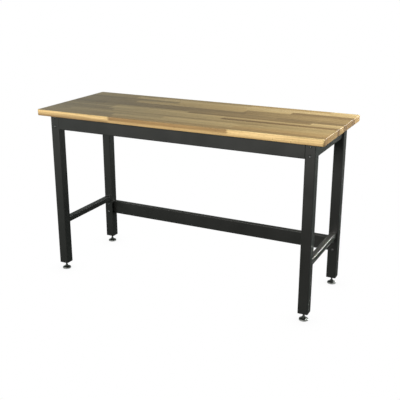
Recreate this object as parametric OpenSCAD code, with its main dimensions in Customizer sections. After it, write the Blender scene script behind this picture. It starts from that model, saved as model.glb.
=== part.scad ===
// Workbench: a butcher-block top on a bolted steel frame that stands on four levelling feet.
// Millimetres. +X is the bench's right, +Y its back and +Z up. The origin is on the floor,
// under the middle of the top.

/* [Worktop] */
// Height of the top face above the floor
bench_h = 897; // [760:1:1000]
// Length of the top
top_l = 1524; // [1200:1:1900]
// Depth of the top, front to back
top_d = 600; // [480:1:760]
// Thickness of the top
top_t = 31; // [28:0.5:45]
// Radius of the top's four upright corners
top_corner_r = 10; // [6:0.5:20]
// Round-over along the top's upper and lower edges
top_arris_r = 3; // [1:0.5:4]

/* [Legs] */
// Side of the square leg tube
leg_w = 50; // [46:0.5:64]
// Wall of the leg tube
leg_wall = 2; // [1.5:0.1:3]
// Outer corner radius of the leg tube
leg_corner_r = 5; // [3.5:0.1:7]
// From the end of the top to the leg's outer face
leg_inset_x = 48.5; // [20:0.5:120]
// From the front or back edge of the top to the leg's face
leg_inset_y = 44.5; // [20:0.5:90]
// From the floor to the bottom end of the leg
foot_drop = 40; // [39:0.5:50]

/* [Folded channels] */
// Thickness of the steel sheet
sheet_t = 2; // [1.5:0.1:2.5]
// Outer radius of the folds
bend_r = 3.5; // [2.8:0.1:5]
// Height of the front and rear aprons
apron_h = 75; // [72:1:110]
// Width of the aprons' flanges
apron_d = 25; // [22:0.5:40]
// Height of the back stretcher
stretcher_h = 75; // [72:1:110]
// Width of the back stretcher's flanges
stretcher_d = 25; // [20:0.5:28]
// From the floor to the underside of the back stretcher
stretcher_z = 182; // [120:1:260]
// Gap between the end of a bolted channel and the leg
channel_gap = 0.3; // [0:0.1:1]

/* [End frames] */
// Height of the side rails under the top
rail_h = 75; // [50:1:110]
// Width of the side rails' flanges
rail_d = 30; // [24:0.5:40]
// Side of the square tube between the legs, low down
side_tube_w = 30; // [20:0.5:40]
// Wall of that tube
side_tube_wall = 1.5; // [1:0.1:2.5]
// Outer corner radius of that tube
side_tube_r = 3; // [2.6:0.1:5]
// From the floor to the underside of that tube
side_tube_z = 264; // [200:1:500]

/* [Tongues and bolts] */
// Thickness of the tongue plates that enter the legs
tongue_t = 3; // [2:0.1:5]
// From a channel's upper or lower edge to the tongue's edge
tongue_edge = 6.5; // [5.5:0.5:8]
// Length of the tongue welded behind the channel's web
tongue_lap = 32; // [15:1:60]
// From the tongue's end to the bend of the leg's far wall
tongue_end = 5; // [2:0.5:8]
// Thread diameter of the frame bolts
bolt_d = 8; // [6:0.5:10]
// Length of the frame bolts under the head
bolt_l = 16; // [14:1:20]
// Diameter of the button head
bolt_head_d = 14; // [12:0.5:18]
// Height of the button head
bolt_head_h = 4.4; // [3:0.1:6]
// Width across flats of the hexagon socket
bolt_socket_af = 5; // [3:0.5:6]
// Depth of the socket
bolt_socket_depth = 2.6; // [1.5:0.1:2.8]
// Distance between the two bolts on a leg
bolt_pitch = 45; // [30:0.5:46]
// Room round a bolt in its hole
bolt_play = 0.25; // [0.1:0.05:0.5]
// Width across flats of the nuts on the tongues
nut_af = 13; // [12:0.5:16]
// Height of the weld nuts on the apron tongues
nut_h = 6.5; // [4:0.5:8]
// Room round a tongue in the slot of the leg
slot_play = 0.5; // [0.2:0.1:1.5]
// Room between a male and a female thread, which are drawn plain
thread_play = 0.05; // [0.02:0.01:0.1]

/* [Top screws] */
// Shank diameter of the wood screws
screw_d = 5; // [4:0.1:6]
// Length of the screws under the head
screw_l = 25; // [15:1:27]
// Diameter of the pan head
screw_head_d = 10; // [8:0.5:12]
// Height of the pan head
screw_head_h = 3; // [2:0.1:4]
// Room round a screw in the flange
screw_play = 0.5; // [0.2:0.1:1]
// Distance of the screws from the web of a channel
screw_line = 14; // [12:0.5:17]
// Number of screws along each apron
apron_screws = 4; // [2:1:8]
// Number of screws along each side rail
rail_screws = 2; // [2:1:4]
// Diameter of the driver's hole in the lower flange
driver_hole_d = 14; // [12.5:0.5:16]

/* [Levelling feet] */
// Diameter of the foot's stem
stem_d = 10; // [8:0.5:12]
// Length of the stem above its nut
stem_spare = 26; // [23:1:60]
// Room round the stem in the plate under its nut
stem_play = 0.5; // [0.2:0.1:1]
// Diameter of the pressed pad
pad_d = 45; // [40:0.5:60]
// Height of the pad's rim above the floor
pad_rim_h = 8; // [7:0.1:9]
// Height of the pad's crown above the floor
pad_crown_h = 12.5; // [12:0.1:14]
// Diameter of the flat on the crown
pad_crown_d = 21; // [19.5:0.5:26]
// Radius of the pad's outer edge
pad_edge_r = 2.5; // [1:0.1:3]
// Thickness of the pad's steel
pad_wall = 2; // [1.5:0.1:2.2]
// Height of the steel rim's lower edge above the floor
pad_lift = 0.8; // [0.3:0.1:1.5]
// Thickness of the plastic sole
sole_t = 4; // [2.5:0.1:4.5]
// Room round the sole inside the pad
sole_play = 0.1; // [0.05:0.05:0.3]
// Diameter of the stem's riveted end under the crown
rivet_d = 16; // [13:0.5:19]
// Thickness of the riveted end
rivet_t = 2.4; // [1.5:0.1:3]
// Room along the stem above and below the crown
swivel_gap = 0.15; // [0.05:0.05:0.3]
// Width across flats of the stem's hexagon
hex_af = 14; // [13:0.5:19]
// Height of the stem's hexagon
hex_h = 7; // [4:0.5:7]
// Thickness of the plate that closes the leg's bottom
plate_t = 4; // [3:0.5:8]
// Room round that plate inside the leg
plate_play = 0.1; // [0.05:0.05:0.3]
// Width across flats of the nut on that plate
foot_nut_af = 17; // [15:0.5:22]
// Height of that nut
foot_nut_h = 8; // [5:0.5:12]

/* [Hidden] */
$fn = 64;
EPS = 1;
WOOD = "burlywood";
BLACK = "#2b2b29";
BOLT_BLACK = "#3a3a3a";
BRIGHT = "silver";
PLASTIC = "#202020";

// Centre lines of the legs, and the faces that other pieces meet
leg_cx = top_l / 2 - leg_inset_x - leg_w / 2;
leg_cy = top_d / 2 - leg_inset_y - leg_w / 2;
leg_in_x = leg_cx - leg_w / 2;
leg_in_y = leg_cy - leg_w / 2;
leg_out_y = leg_cy + leg_w / 2;
leg_bore = leg_w - 2 * leg_wall;
leg_bore_r = leg_corner_r - leg_wall;
frame_top = bench_h - top_t;
leg_l = frame_top - foot_drop;

// The web's back face lies in the plane of the leg wall's inner face, where the tongue is
channel_l = 2 * (leg_in_x - channel_gap);
apron_z = frame_top - apron_h;
apron_y = leg_out_y - leg_wall + sheet_t;
apron_bolt_z = apron_z + apron_h / 2;
stretcher_y = leg_out_y - stretcher_d;
stretcher_tongue_y = stretcher_y + sheet_t;
stretcher_bolt_z = stretcher_z + stretcher_h / 2;
long_nut_l = stretcher_tongue_y - (leg_in_y + leg_wall);
apron_tongue_h = apron_h - 2 * tongue_edge;
stretcher_tongue_h = stretcher_h - 2 * tongue_edge;
tongue_reach = leg_w - leg_corner_r - tongue_end;

// Side rails and tubes run between the legs on the legs' centre line
rail_z = frame_top - rail_h;
rail_x = leg_cx + rail_d / 2;
side_l = 2 * leg_in_y;

// Screws are spread evenly, with half a step left at each end
function spread(n, length) = [for (i = [0:n - 1]) length * ((i + 0.5) / n - 0.5)];
apron_screw_x = spread(apron_screws, channel_l);
rail_screw_y = spread(rail_screws, side_l);
pilot_depth = screw_l - sheet_t;

// Levels of the foot, from the floor up
crown_under = pad_crown_h - pad_wall;
rivet_top = crown_under - swivel_gap;
hex_z = pad_crown_h + swivel_gap;
foot_nut_z = foot_drop + plate_t;
stem_top = foot_nut_z + foot_nut_h + stem_spare;

// Helpers

// Rectangle about the origin with four round corners
module round_rect(w, d, r) {
    square([w, d - 2 * r], center = true);
    square([w - 2 * r, d], center = true);
    for (x = [-1, 1], y = [-1, 1])
        translate([x * (w / 2 - r), y * (d / 2 - r)]) circle(r);
}

// Rectangle from the origin whose two corners on the left are round
module left_round_rect(w, h, r) {
    translate([r, 0]) square([w - r, h]);
    translate([0, r]) square([w, h - 2 * r]);
    for (y = [r, h - r])
        translate([r, y]) circle(r);
}

// Turns a section drawn in X and Y into Y and Z, and runs it along X about the origin
module along_x(length) {
    rotate([90, 0, 90]) linear_extrude(length, center = true) children();
}

// Folded channel along X: the web's outer face is at y = 0, the flanges run back from it
module channel(length, h, d) {
    along_x(length) difference() {
        left_round_rect(d, h, bend_r);
        translate([sheet_t, sheet_t]) left_round_rect(d, h - 2 * sheet_t, bend_r - sheet_t);
    }
}

// The same with screw holes in the upper flange and driver's holes below them
module screwed_channel(length, h, d, stations) {
    difference() {
        channel(length, h, d);
        for (x = stations) {
            translate([x, screw_line, h - sheet_t - EPS])
                cylinder(d = screw_d + 2 * screw_play, h = sheet_t + 2 * EPS);
            translate([x, screw_line, -EPS]) cylinder(d = driver_hole_d, h = sheet_t + 2 * EPS);
        }
    }
}

// Places its children on a leg's centre line, drawn for the front right leg, where the bench's
// middle lies towards -X and the outer face towards -Y
module at_leg(sx, sy) {
    translate([sx * leg_cx, sy * leg_cy, 0])
        mirror([sx < 0 ? 1 : 0, 0, 0]) mirror([0, sy > 0 ? 1 : 0, 0])
            children();
}

// Places its children at the two bolts of one joint, with the way in along +Y
module at_bolts(z) {
    for (dz = [-bolt_pitch / 2, bolt_pitch / 2])
        translate([0, 0, z + dz]) rotate([-90, 0, 0]) children();
}

module hexagon(af, h) {
    cylinder(d = af / cos(30), h = h, $fn = 6);
}

module nut(af, h, thread_d) {
    difference() {
        hexagon(af, h);
        translate([0, 0, -EPS]) cylinder(d = thread_d + 2 * thread_play, h = h + 2 * EPS);
    }
}

// Worktop

// What a round-over bit takes off an outer edge, in a section with the arc's centre at 0, 0
module arris_waste() {
    difference() {
        square(top_arris_r + EPS);
        circle(top_arris_r);
    }
}

// That waste all round the upper edge of the top
module arris_ring() {
    run_x = top_l - 2 * top_corner_r;
    run_y = top_d - 2 * top_corner_r;
    arc_in = top_arris_r;
    for (s = [0, 180]) {
        rotate([0, 0, s]) translate([0, top_d / 2 - arc_in, -arc_in]) along_x(run_x) arris_waste();
        rotate([0, 0, s + 90])
            translate([0, top_l / 2 - arc_in, -arc_in]) along_x(run_y) arris_waste();
    }
    for (sx = [0, 1], sy = [0, 1])
        mirror([sx, 0, 0]) mirror([0, sy, 0])
            translate([top_l / 2 - top_corner_r, top_d / 2 - top_corner_r, -arc_in])
                rotate_extrude(angle = 90) translate([top_corner_r - arc_in, 0]) arris_waste();
}

module wood_top() {
    color(WOOD) difference() {
        translate([0, 0, frame_top]) linear_extrude(top_t) round_rect(top_l, top_d, top_corner_r);
        translate([0, 0, bench_h]) arris_ring();
        translate([0, 0, frame_top]) mirror([0, 0, 1]) arris_ring();
        at_top_screws() cylinder(d = screw_d, h = pilot_depth);
    }
}

// Places its children at each top screw, at the underside of the wood
module at_top_screws() {
    for (s = [0, 180], x = apron_screw_x)
        rotate([0, 0, s]) translate([x, screw_line - apron_y, frame_top]) children();
    for (s = [90, -90], y = rail_screw_y)
        rotate([0, 0, s]) translate([y, screw_line - rail_x, frame_top]) children();
}

// Pan-head wood screws, up through the flanges into the wood
module top_screws() {
    color(BRIGHT) at_top_screws() {
        translate([0, 0, -sheet_t]) cylinder(d = screw_d, h = screw_l);
        translate([0, 0, -sheet_t - screw_head_h]) cylinder(d = screw_head_d, h = screw_head_h);
    }
}

// Legs

// Slot in the leg's inner wall for a tongue of height h, from y0 to y1 across the tube
module tongue_slot(y0, y1, z, h) {
    slot_h = h + 2 * slot_play;
    translate([-leg_w / 2 - EPS, y0, z - slot_h / 2]) cube([leg_corner_r + EPS, y1 - y0, slot_h]);
}

module bolt_holes(z) {
    at_bolts(z) translate([0, 0, -EPS]) cylinder(d = bolt_d + 2 * bolt_play, h = leg_wall + 2 * EPS);
}

// One leg. The rear legs also take the back stretcher, on their face towards the front.
module leg(sx, sy) {
    face = -leg_w / 2;
    inner = face + leg_wall;
    color(BLACK) at_leg(sx, sy) difference() {
        translate([0, 0, foot_drop]) linear_extrude(leg_l) difference() {
            round_rect(leg_w, leg_w, leg_corner_r);
            round_rect(leg_bore, leg_bore, leg_bore_r);
        }
        translate([0, face, 0]) bolt_holes(apron_bolt_z);
        tongue_slot(inner, inner + tongue_t + nut_h + slot_play, apron_bolt_z, apron_tongue_h);
        if (sy > 0)
            mirror([0, 1, 0]) {
                translate([0, face, 0]) bolt_holes(stretcher_bolt_z);
                tongue_slot(inner, inner + long_nut_l + tongue_t + slot_play, stretcher_bolt_z,
                    stretcher_tongue_h);
            }
    }
}

// Channels

module apron(turn) {
    color(BLACK) rotate([0, 0, turn]) translate([0, -apron_y, apron_z])
        screwed_channel(channel_l, apron_h, apron_d, apron_screw_x);
}

module back_stretcher() {
    color(BLACK) translate([0, stretcher_y, stretcher_z])
        channel(channel_l, stretcher_h, stretcher_d);
}

// Tongue plate behind a web, with round corners where it goes into the leg. Its face is at
// y = 0, and x = 0 is the leg's centre line.
module tongue_plate(z, h) {
    length = tongue_lap + tongue_reach;
    color(BLACK) translate([tongue_reach - leg_w / 2 - length / 2, 0, z]) difference() {
        rotate([-90, 0, 0]) linear_extrude(tongue_t)
            mirror([1, 0]) translate([-length / 2, -h / 2])
                left_round_rect(length, h, 2 * tongue_t);
        translate([length / 2 + leg_w / 2 - tongue_reach, -EPS, 0]) at_bolts(0)
            cylinder(d = bolt_d + 2 * bolt_play, h = tongue_t + 2 * EPS);
    }
}

module apron_tongue(sx, sy) {
    at_leg(sx, sy) translate([0, leg_wall - leg_w / 2, 0])
        tongue_plate(apron_bolt_z, apron_tongue_h);
}

module stretcher_tongue(sx) {
    translate([0, leg_cy + stretcher_tongue_y, 0])
        at_leg(sx, -1) tongue_plate(stretcher_bolt_z, stretcher_tongue_h);
}

// End frames

module side_rail(sx) {
    color(BLACK) translate([sx * rail_x, 0, rail_z]) rotate([0, 0, sx * 90])
        screwed_channel(side_l, rail_h, rail_d, rail_screw_y);
}

module side_stretcher(sx) {
    color(BLACK) translate([sx * leg_cx, 0, side_tube_z + side_tube_w / 2])
        rotate([90, 0, 0]) linear_extrude(side_l, center = true) difference() {
            round_rect(side_tube_w, side_tube_w, side_tube_r);
            round_rect(side_tube_w - 2 * side_tube_wall, side_tube_w - 2 * side_tube_wall,
                side_tube_r - side_tube_wall);
        }
}

// Fasteners

// Button-head bolt along +Z, with the underside of the head at z = 0
module bolt() {
    // The head is a slice of a sphere through its edge and its crown
    dome_r = (pow(bolt_head_d / 2, 2) + pow(bolt_head_h, 2)) / (2 * bolt_head_h);
    cylinder(d = bolt_d, h = bolt_l);
    difference() {
        intersection() {
            translate([0, 0, dome_r - bolt_head_h]) sphere(dome_r);
            translate([0, 0, -bolt_head_h]) cylinder(d = bolt_head_d, h = bolt_head_h);
        }
        translate([0, 0, -bolt_head_h - EPS]) hexagon(bolt_socket_af, bolt_socket_depth + EPS);
    }
}

module apron_bolts(sy) {
    color(BOLT_BLACK) for (sx = [-1, 1])
        at_leg(sx, sy) translate([0, -leg_w / 2, 0]) at_bolts(apron_bolt_z) bolt();
}

module stretcher_bolts() {
    color(BOLT_BLACK) for (sx = [-1, 1])
        translate([sx * leg_cx, leg_in_y, 0]) at_bolts(stretcher_bolt_z) bolt();
}

module apron_weld_nuts() {
    color(BRIGHT) for (sx = [-1, 1], sy = [-1, 1])
        at_leg(sx, sy) translate([0, leg_wall + tongue_t - leg_w / 2, 0])
            at_bolts(apron_bolt_z) nut(nut_af, nut_h, bolt_d);
}

module stretcher_long_nuts() {
    color(BRIGHT) for (sx = [-1, 1])
        translate([sx * leg_cx, leg_in_y + leg_wall, 0])
            at_bolts(stretcher_bolt_z) nut(nut_af, long_nut_l, bolt_d);
}

// Levelling feet

module foot_plate(sx, sy) {
    side = leg_bore - 2 * plate_play;
    color(BLACK) at_leg(sx, sy) translate([0, 0, foot_drop]) difference() {
        linear_extrude(plate_t) round_rect(side, side, leg_bore_r);
        translate([0, 0, -EPS]) cylinder(d = stem_d + 2 * stem_play, h = plate_t + 2 * EPS);
    }
}

module foot_nuts() {
    color(BRIGHT) for (sx = [-1, 1], sy = [-1, 1])
        at_leg(sx, sy) translate([0, 0, foot_nut_z]) nut(foot_nut_af, foot_nut_h, stem_d);
}

// Stem with its riveted end under the pad's crown and its hexagon above it
module foot_stem(sx, sy) {
    tip = 1;
    color(BRIGHT) at_leg(sx, sy) {
        translate([0, 0, rivet_top - rivet_t]) cylinder(d = rivet_d, h = rivet_t);
        translate([0, 0, rivet_top]) cylinder(d = stem_d, h = hex_z - rivet_top);
        translate([0, 0, hex_z]) hexagon(hex_af, hex_h);
        translate([0, 0, hex_z + hex_h]) cylinder(d = stem_d, h = stem_top - tip - hex_z - hex_h);
        translate([0, 0, stem_top - tip]) cylinder(d1 = stem_d, d2 = stem_d - 2 * tip, h = tip);
    }
}

// Half section of the pad's outside, or of its inside when drawn smaller
module pad_section(r, rim, crown, edge) {
    square([r, rim - edge]);
    square([r - edge, rim]);
    translate([r - edge, rim - edge]) circle(edge);
    polygon([[0, rim], [r - edge, rim], [pad_crown_d / 2, crown], [0, crown]]);
}

// Pressed steel cup with a hole in its crown for the stem
module foot_pad(sx, sy) {
    bore = stem_d / 2 + thread_play;
    color(BRIGHT) at_leg(sx, sy) rotate_extrude() difference() {
        pad_section(pad_d / 2, pad_rim_h, pad_crown_h, pad_edge_r);
        pad_section(pad_d / 2 - pad_wall, pad_rim_h - pad_wall, crown_under,
            pad_edge_r / 2);
        translate([0, -EPS]) square([pad_d, pad_lift + EPS]);
        square([bore, pad_crown_h + EPS]);
    }
}

module foot_sole(sx, sy) {
    color(PLASTIC) at_leg(sx, sy) cylinder(d = pad_d - 2 * pad_wall - 2 * sole_play, h = sole_t);
}

wood_top();
top_screws();
leg(-1, -1);  // leg_front_left
leg(1, -1);  // leg_front_right
leg(-1, 1);  // leg_rear_left
leg(1, 1);  // leg_rear_right
apron(0);  // front_apron
apron(180);  // rear_apron
back_stretcher();
side_rail(-1);  // side_rail_left
side_rail(1);  // side_rail_right
side_stretcher(-1);  // side_stretcher_left
side_stretcher(1);  // side_stretcher_right
apron_tongue(-1, -1);  // tongue_front_left
apron_tongue(1, -1);  // tongue_front_right
apron_tongue(-1, 1);  // tongue_rear_left
apron_tongue(1, 1);  // tongue_rear_right
stretcher_tongue(-1);  // tongue_stretcher_left
stretcher_tongue(1);  // tongue_stretcher_right
apron_bolts(-1);  // front_apron_bolts
apron_bolts(1);  // rear_apron_bolts
stretcher_bolts();
apron_weld_nuts();
stretcher_long_nuts();
foot_plate(-1, -1);  // foot_plate_front_left
foot_plate(1, -1);  // foot_plate_front_right
foot_plate(-1, 1);  // foot_plate_rear_left
foot_plate(1, 1);  // foot_plate_rear_right
foot_nuts();
foot_stem(-1, -1);  // foot_stem_front_left
foot_stem(1, -1);  // foot_stem_front_right
foot_stem(-1, 1);  // foot_stem_rear_left
foot_stem(1, 1);  // foot_stem_rear_right
foot_pad(-1, -1);  // foot_pad_front_left
foot_pad(1, -1);  // foot_pad_front_right
foot_pad(-1, 1);  // foot_pad_rear_left
foot_pad(1, 1);  // foot_pad_rear_right
foot_sole(-1, -1);  // foot_sole_front_left
foot_sole(1, -1);  // foot_sole_front_right
foot_sole(-1, 1);  // foot_sole_rear_left
foot_sole(1, 1);  // foot_sole_rear_right
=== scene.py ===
"""Looks of a workbench: its glued worktop, paint, plating, fasteners, feet and studio.

Metres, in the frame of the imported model: +X is the bench's right, +Y its back and +Z up. The
origin is on the floor, under the middle of the top.
"""

import functools
import logging
import math
import random
from collections import defaultdict
from collections.abc import Callable, Iterable, Sequence
from dataclasses import dataclass
from enum import Enum

import bmesh
import bpy
from mathutils import Euler, Matrix, Vector


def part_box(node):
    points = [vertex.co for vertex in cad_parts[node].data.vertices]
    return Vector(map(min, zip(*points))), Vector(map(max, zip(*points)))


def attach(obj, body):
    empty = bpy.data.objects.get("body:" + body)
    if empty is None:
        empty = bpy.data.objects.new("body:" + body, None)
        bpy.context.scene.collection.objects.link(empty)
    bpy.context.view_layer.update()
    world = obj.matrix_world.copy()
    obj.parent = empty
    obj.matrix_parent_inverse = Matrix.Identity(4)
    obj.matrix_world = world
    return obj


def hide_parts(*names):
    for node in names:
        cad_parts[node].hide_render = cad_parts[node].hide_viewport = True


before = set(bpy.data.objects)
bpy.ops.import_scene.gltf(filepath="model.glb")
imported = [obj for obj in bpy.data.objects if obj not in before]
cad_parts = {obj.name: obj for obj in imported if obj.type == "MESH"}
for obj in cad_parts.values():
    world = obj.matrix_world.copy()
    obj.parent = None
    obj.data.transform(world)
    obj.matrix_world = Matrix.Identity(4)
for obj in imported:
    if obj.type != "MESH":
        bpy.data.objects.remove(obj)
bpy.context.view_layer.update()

LOG = logging.getLogger("workbench")
MM = 0.001
FULL_TURN = 2 * math.pi
ORIGIN = (0.0, 0.0, 0.0)

SIDES = ("left", "right")
CORNERS = ("front_left", "front_right", "rear_left", "rear_right")
# Faces that meet at more than this angle, in degrees, keep a hard edge
HARD_EDGE = 32.0
# Depth of a rolled metric thread for each unit of its pitch
THREAD_DEPTH = 0.61

Ring = list[Vector]
Point = tuple[float, float, float]
Colour = tuple[float, float, float]
Limits = tuple[float, float]
Measure = float | Callable[[float], float]


# Shapes

@dataclass(frozen=True)
class Span:
    """The box that a node of the frame fills at rest."""

    low: Vector
    high: Vector

    @classmethod
    def of(cls, node: str) -> "Span":
        """Reads the box of one node."""
        return cls(*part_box(node))

    @property
    def centre(self) -> Vector:
        """Middle of the box."""
        return (self.low + self.high) / 2

    @property
    def size(self) -> Vector:
        """Length of the box along each axis."""
        return self.high - self.low


def ring(radius: Measure, z: Measure, count: int) -> Ring:
    """Makes one closed ring of points about the Z axis.

    Args:
        radius: distance from the axis, or a function of the angle that gives it.
        z: height, or a function of the angle that gives it.
        count: number of points.

    Returns:
        The points, anticlockwise as seen from above.
    """
    points = []
    for i in range(count):
        angle = FULL_TURN * i / count
        r = radius(angle) if callable(radius) else radius
        height = z(angle) if callable(z) else z
        points.append(Vector((r * math.cos(angle), r * math.sin(angle), height)))
    return points


def arc(centre: tuple[float, float], radius: float, start: float, end: float,
        steps: int) -> list[tuple[float, float]]:
    """Points of an arc in a half section.

    Args:
        centre: its centre, as distance from the axis and height.
        radius: its radius.
        start: first angle in degrees, with 0 away from the axis and 90 up.
        end: last angle in degrees.
        steps: number of chords.

    Returns:
        Pairs of distance from the axis and height.
    """
    angles = [math.radians(start + (end - start) * i / steps) for i in range(steps + 1)]
    return [(centre[0] + radius * math.cos(a), centre[1] + radius * math.sin(a)) for a in angles]


@dataclass(frozen=True)
class Hexagon:
    """A hexagon about the Z axis, and the block that has both its faces chamfered."""

    across: float
    # Width of a face inside its chamfer, as a share of the width across flats
    face_share: float = 0.97

    SIDE = FULL_TURN / 6
    CHAMFER_FALL = math.tan(math.radians(30))

    @classmethod
    def across_flats(cls, corner: float) -> float:
        """Width across flats, for corners that are this far from the axis."""
        return 2 * corner * math.cos(cls.SIDE / 2)

    def radius(self, angle: float) -> float:
        """Distance from the axis to the side."""
        return self.across / 2 / math.cos(angle % self.SIDE - self.SIDE / 2)

    def section(self, low: float, high: float) -> list[tuple[Measure, Measure]]:
        """Gives the side of the block, from its lower face to its upper one.

        Args:
            low: height of the lower face.
            high: height of the upper face.

        Returns:
            Pairs of distance from the axis and height.
        """
        face = self.across / 2 * self.face_share

        def fall(angle: float) -> float:
            """How far the chamfer has fallen where it meets the side."""
            return (self.radius(angle) - face) * self.CHAMFER_FALL

        return [(face, low), (self.radius, lambda angle: low + fall(angle)),
                (self.radius, lambda angle: high - fall(angle)), (face, high)]


@dataclass(frozen=True)
class CrossCut:
    """The outline of a cross recess at one depth."""

    arm: float
    half_width: float
    depth: float

    # Keeps a division by a sine or a cosine finite
    LEAST = 1e-6

    def bar(self, angle: float) -> float:
        """Gives the distance from the axis to the outline of the bar that lies along X.

        Args:
            angle: the direction from the axis.

        Returns:
            The distance.
        """
        along = max(abs(math.cos(angle)), self.LEAST)
        across = max(abs(math.sin(angle)), self.LEAST)
        return min(self.arm / along, self.half_width / across)

    def radius(self, angle: float) -> float:
        """Distance from the axis to the outline of the whole cross."""
        return max(self.bar(angle), self.bar(angle + FULL_TURN / 4))


class MeshMaker:
    """Builds one mesh out of lofts, threads and swept beads."""

    # Points that are nearer to each other than this are one
    MERGE = 1e-7
    # One turn of a thread, as share of the pitch and share of the ridge's height
    THREAD_PROFILE = ((0.0, 0.0), (0.25, 0.0), (0.56, 1.0), (0.69, 1.0))
    # A weld bead's sides, and the length, rings and loss of radius of one of its scales
    BEAD_SIDES = 8
    SCALE_LENGTH = 3.2 * MM
    RINGS_PER_SCALE = 4
    SCALE_FALL = 0.22

    def __init__(self) -> None:
        """Starts an empty mesh."""
        self.mesh = bmesh.new()

    def loft(self, rings: Sequence[Ring], place: Matrix = Matrix(), closed: bool = False,
             caps: bool = True) -> None:
        """Joins rings of equal counts by four-sided faces.

        Args:
            rings: the rings, in order.
            place: where the loft goes.
            closed: whether the last ring meets the first.
            caps: whether an open loft's ends are closed by a face each.
        """
        rows = [[self.mesh.verts.new(place @ p) for p in points] for points in rings]
        pairs = list(zip(rows, rows[1:]))
        if closed:
            pairs.append((rows[-1], rows[0]))
        count = len(rows[0])
        for lower, upper in pairs:
            for i in range(count):
                j = (i + 1) % count
                self.mesh.faces.new((lower[i], lower[j], upper[j], upper[i]))
        if caps and not closed:
            self.mesh.faces.new(rows[0][::-1])
            self.mesh.faces.new(rows[-1])

    def lathe(self, section: Iterable[tuple[Measure, Measure]], count: int,
              place: Matrix = Matrix(), closed: bool = False) -> None:
        """Turns a half section, of distances from the axis and heights, about the Z axis."""
        self.loft([ring(r, z, count) for r, z in section], place, closed, caps=False)

    def thread(self, low: float, high: float, pitch: float, crest: float, root: float,
               count: int, place: Matrix = Matrix()) -> None:
        """Winds a right-hand thread about the Z axis, open at both ends.

        Each row of points runs along the helix and is held between the two heights, so both
        ends close into plain rings at the root's radius.

        Args:
            low: where the thread starts.
            high: where it ends.
            pitch: rise of one turn.
            crest: radius of the ridge.
            root: radius of the groove.
            count: points per turn.
            place: where the thread goes.
        """
        turns = math.ceil((high - low) / pitch)
        starts = [(turn + phase, level) for turn in range(-1, turns + 1)
                  for phase, level in self.THREAD_PROFILE]
        rows = []
        for start, level in starts:
            row = []
            for j in range(count + 1):
                z = min(max(low + (start + j / count) * pitch, low), high)
                fade = min(1.0, (z - low) / pitch, (high - z) / pitch)
                r = root + (crest - root) * level * fade
                angle = FULL_TURN * j / count
                point = Vector((r * math.cos(angle), r * math.sin(angle), z))
                row.append(self.mesh.verts.new(place @ point))
            rows.append(row)
        for lower, upper in zip(rows, rows[1:]):
            for j in range(count):
                self.mesh.faces.new((lower[j], lower[j + 1], upper[j + 1], upper[j]))

    def bead(self, path: Sequence[Vector], size: float) -> None:
        """Lays a weld bead with overlapping scales along a path.

        Args:
            path: corners of the bead's centre line.
            size: radius of the bead.
        """
        step = self.SCALE_LENGTH / self.RINGS_PER_SCALE
        travelled, rings = 0.0, []
        for start, end in zip(path, path[1:]):
            run = end - start
            steps = max(2, round(run.length / step))
            side = run.orthogonal().normalized()
            turn = run.normalized().cross(side)
            # The last run has a ring at its end too
            for i in range(steps + (end is path[-1])):
                distance = travelled + run.length * i / steps
                swell = 1 - self.SCALE_FALL * (distance / self.SCALE_LENGTH % 1.0)
                middle = start + run * (i / steps)
                rings.append([
                    middle + (side * math.cos(a) + turn * math.sin(a)) * size * swell
                    for a in (FULL_TURN * k / self.BEAD_SIDES for k in range(self.BEAD_SIDES))
                ])
            travelled += run.length
        self.loft(rings)

    def finish(self, name: str, sharp: float = HARD_EDGE) -> bpy.types.Object:
        """Closes the mesh up and puts it in the scene.

        Args:
            name: the piece's name.
            sharp: faces that meet at more than this angle, in degrees, keep a hard edge.

        Returns:
            The new object, at the origin.
        """
        bmesh.ops.remove_doubles(self.mesh, verts=self.mesh.verts, dist=self.MERGE)
        bmesh.ops.dissolve_degenerate(self.mesh, edges=self.mesh.edges, dist=self.MERGE)
        bmesh.ops.recalc_face_normals(self.mesh, faces=self.mesh.faces)
        data = bpy.data.meshes.new(name)
        self.mesh.to_mesh(data)
        self.mesh.free()
        return show(data, name, sharp)


def show(data: bpy.types.Mesh, name: str, sharp: float = HARD_EDGE) -> bpy.types.Object:
    """Puts a mesh in the scene with smooth faces and hard edges.

    Args:
        data: the mesh.
        name: the piece's name.
        sharp: faces that meet at more than this angle, in degrees, keep a hard edge.

    Returns:
        The new object.
    """
    data.polygons.foreach_set("use_smooth", [True] * len(data.polygons))
    data.set_sharp_from_angle(angle=math.radians(sharp))
    made = bpy.data.objects.new(name, data)
    bpy.context.scene.collection.objects.link(made)
    weighted = made.modifiers.new("even_shading", "WEIGHTED_NORMAL")
    weighted.keep_sharp = True
    return made


def settle(piece: bpy.types.Object, body: str, material: bpy.types.Material,
           replaced: Sequence[str] = ()) -> None:
    """Gives a piece its finish and the body that it rides on.

    Args:
        piece: the new object, in place.
        body: the body that carries it.
        material: its finish.
        replaced: nodes of the frame that it stands for.
    """
    piece.data.materials.clear()
    piece.data.materials.append(material)
    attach(piece, body)
    if replaced:
        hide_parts(*replaced)
    LOG.info("%s: %d faces on %s", piece.name, len(piece.data.polygons), body)


# Shader graphs

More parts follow.
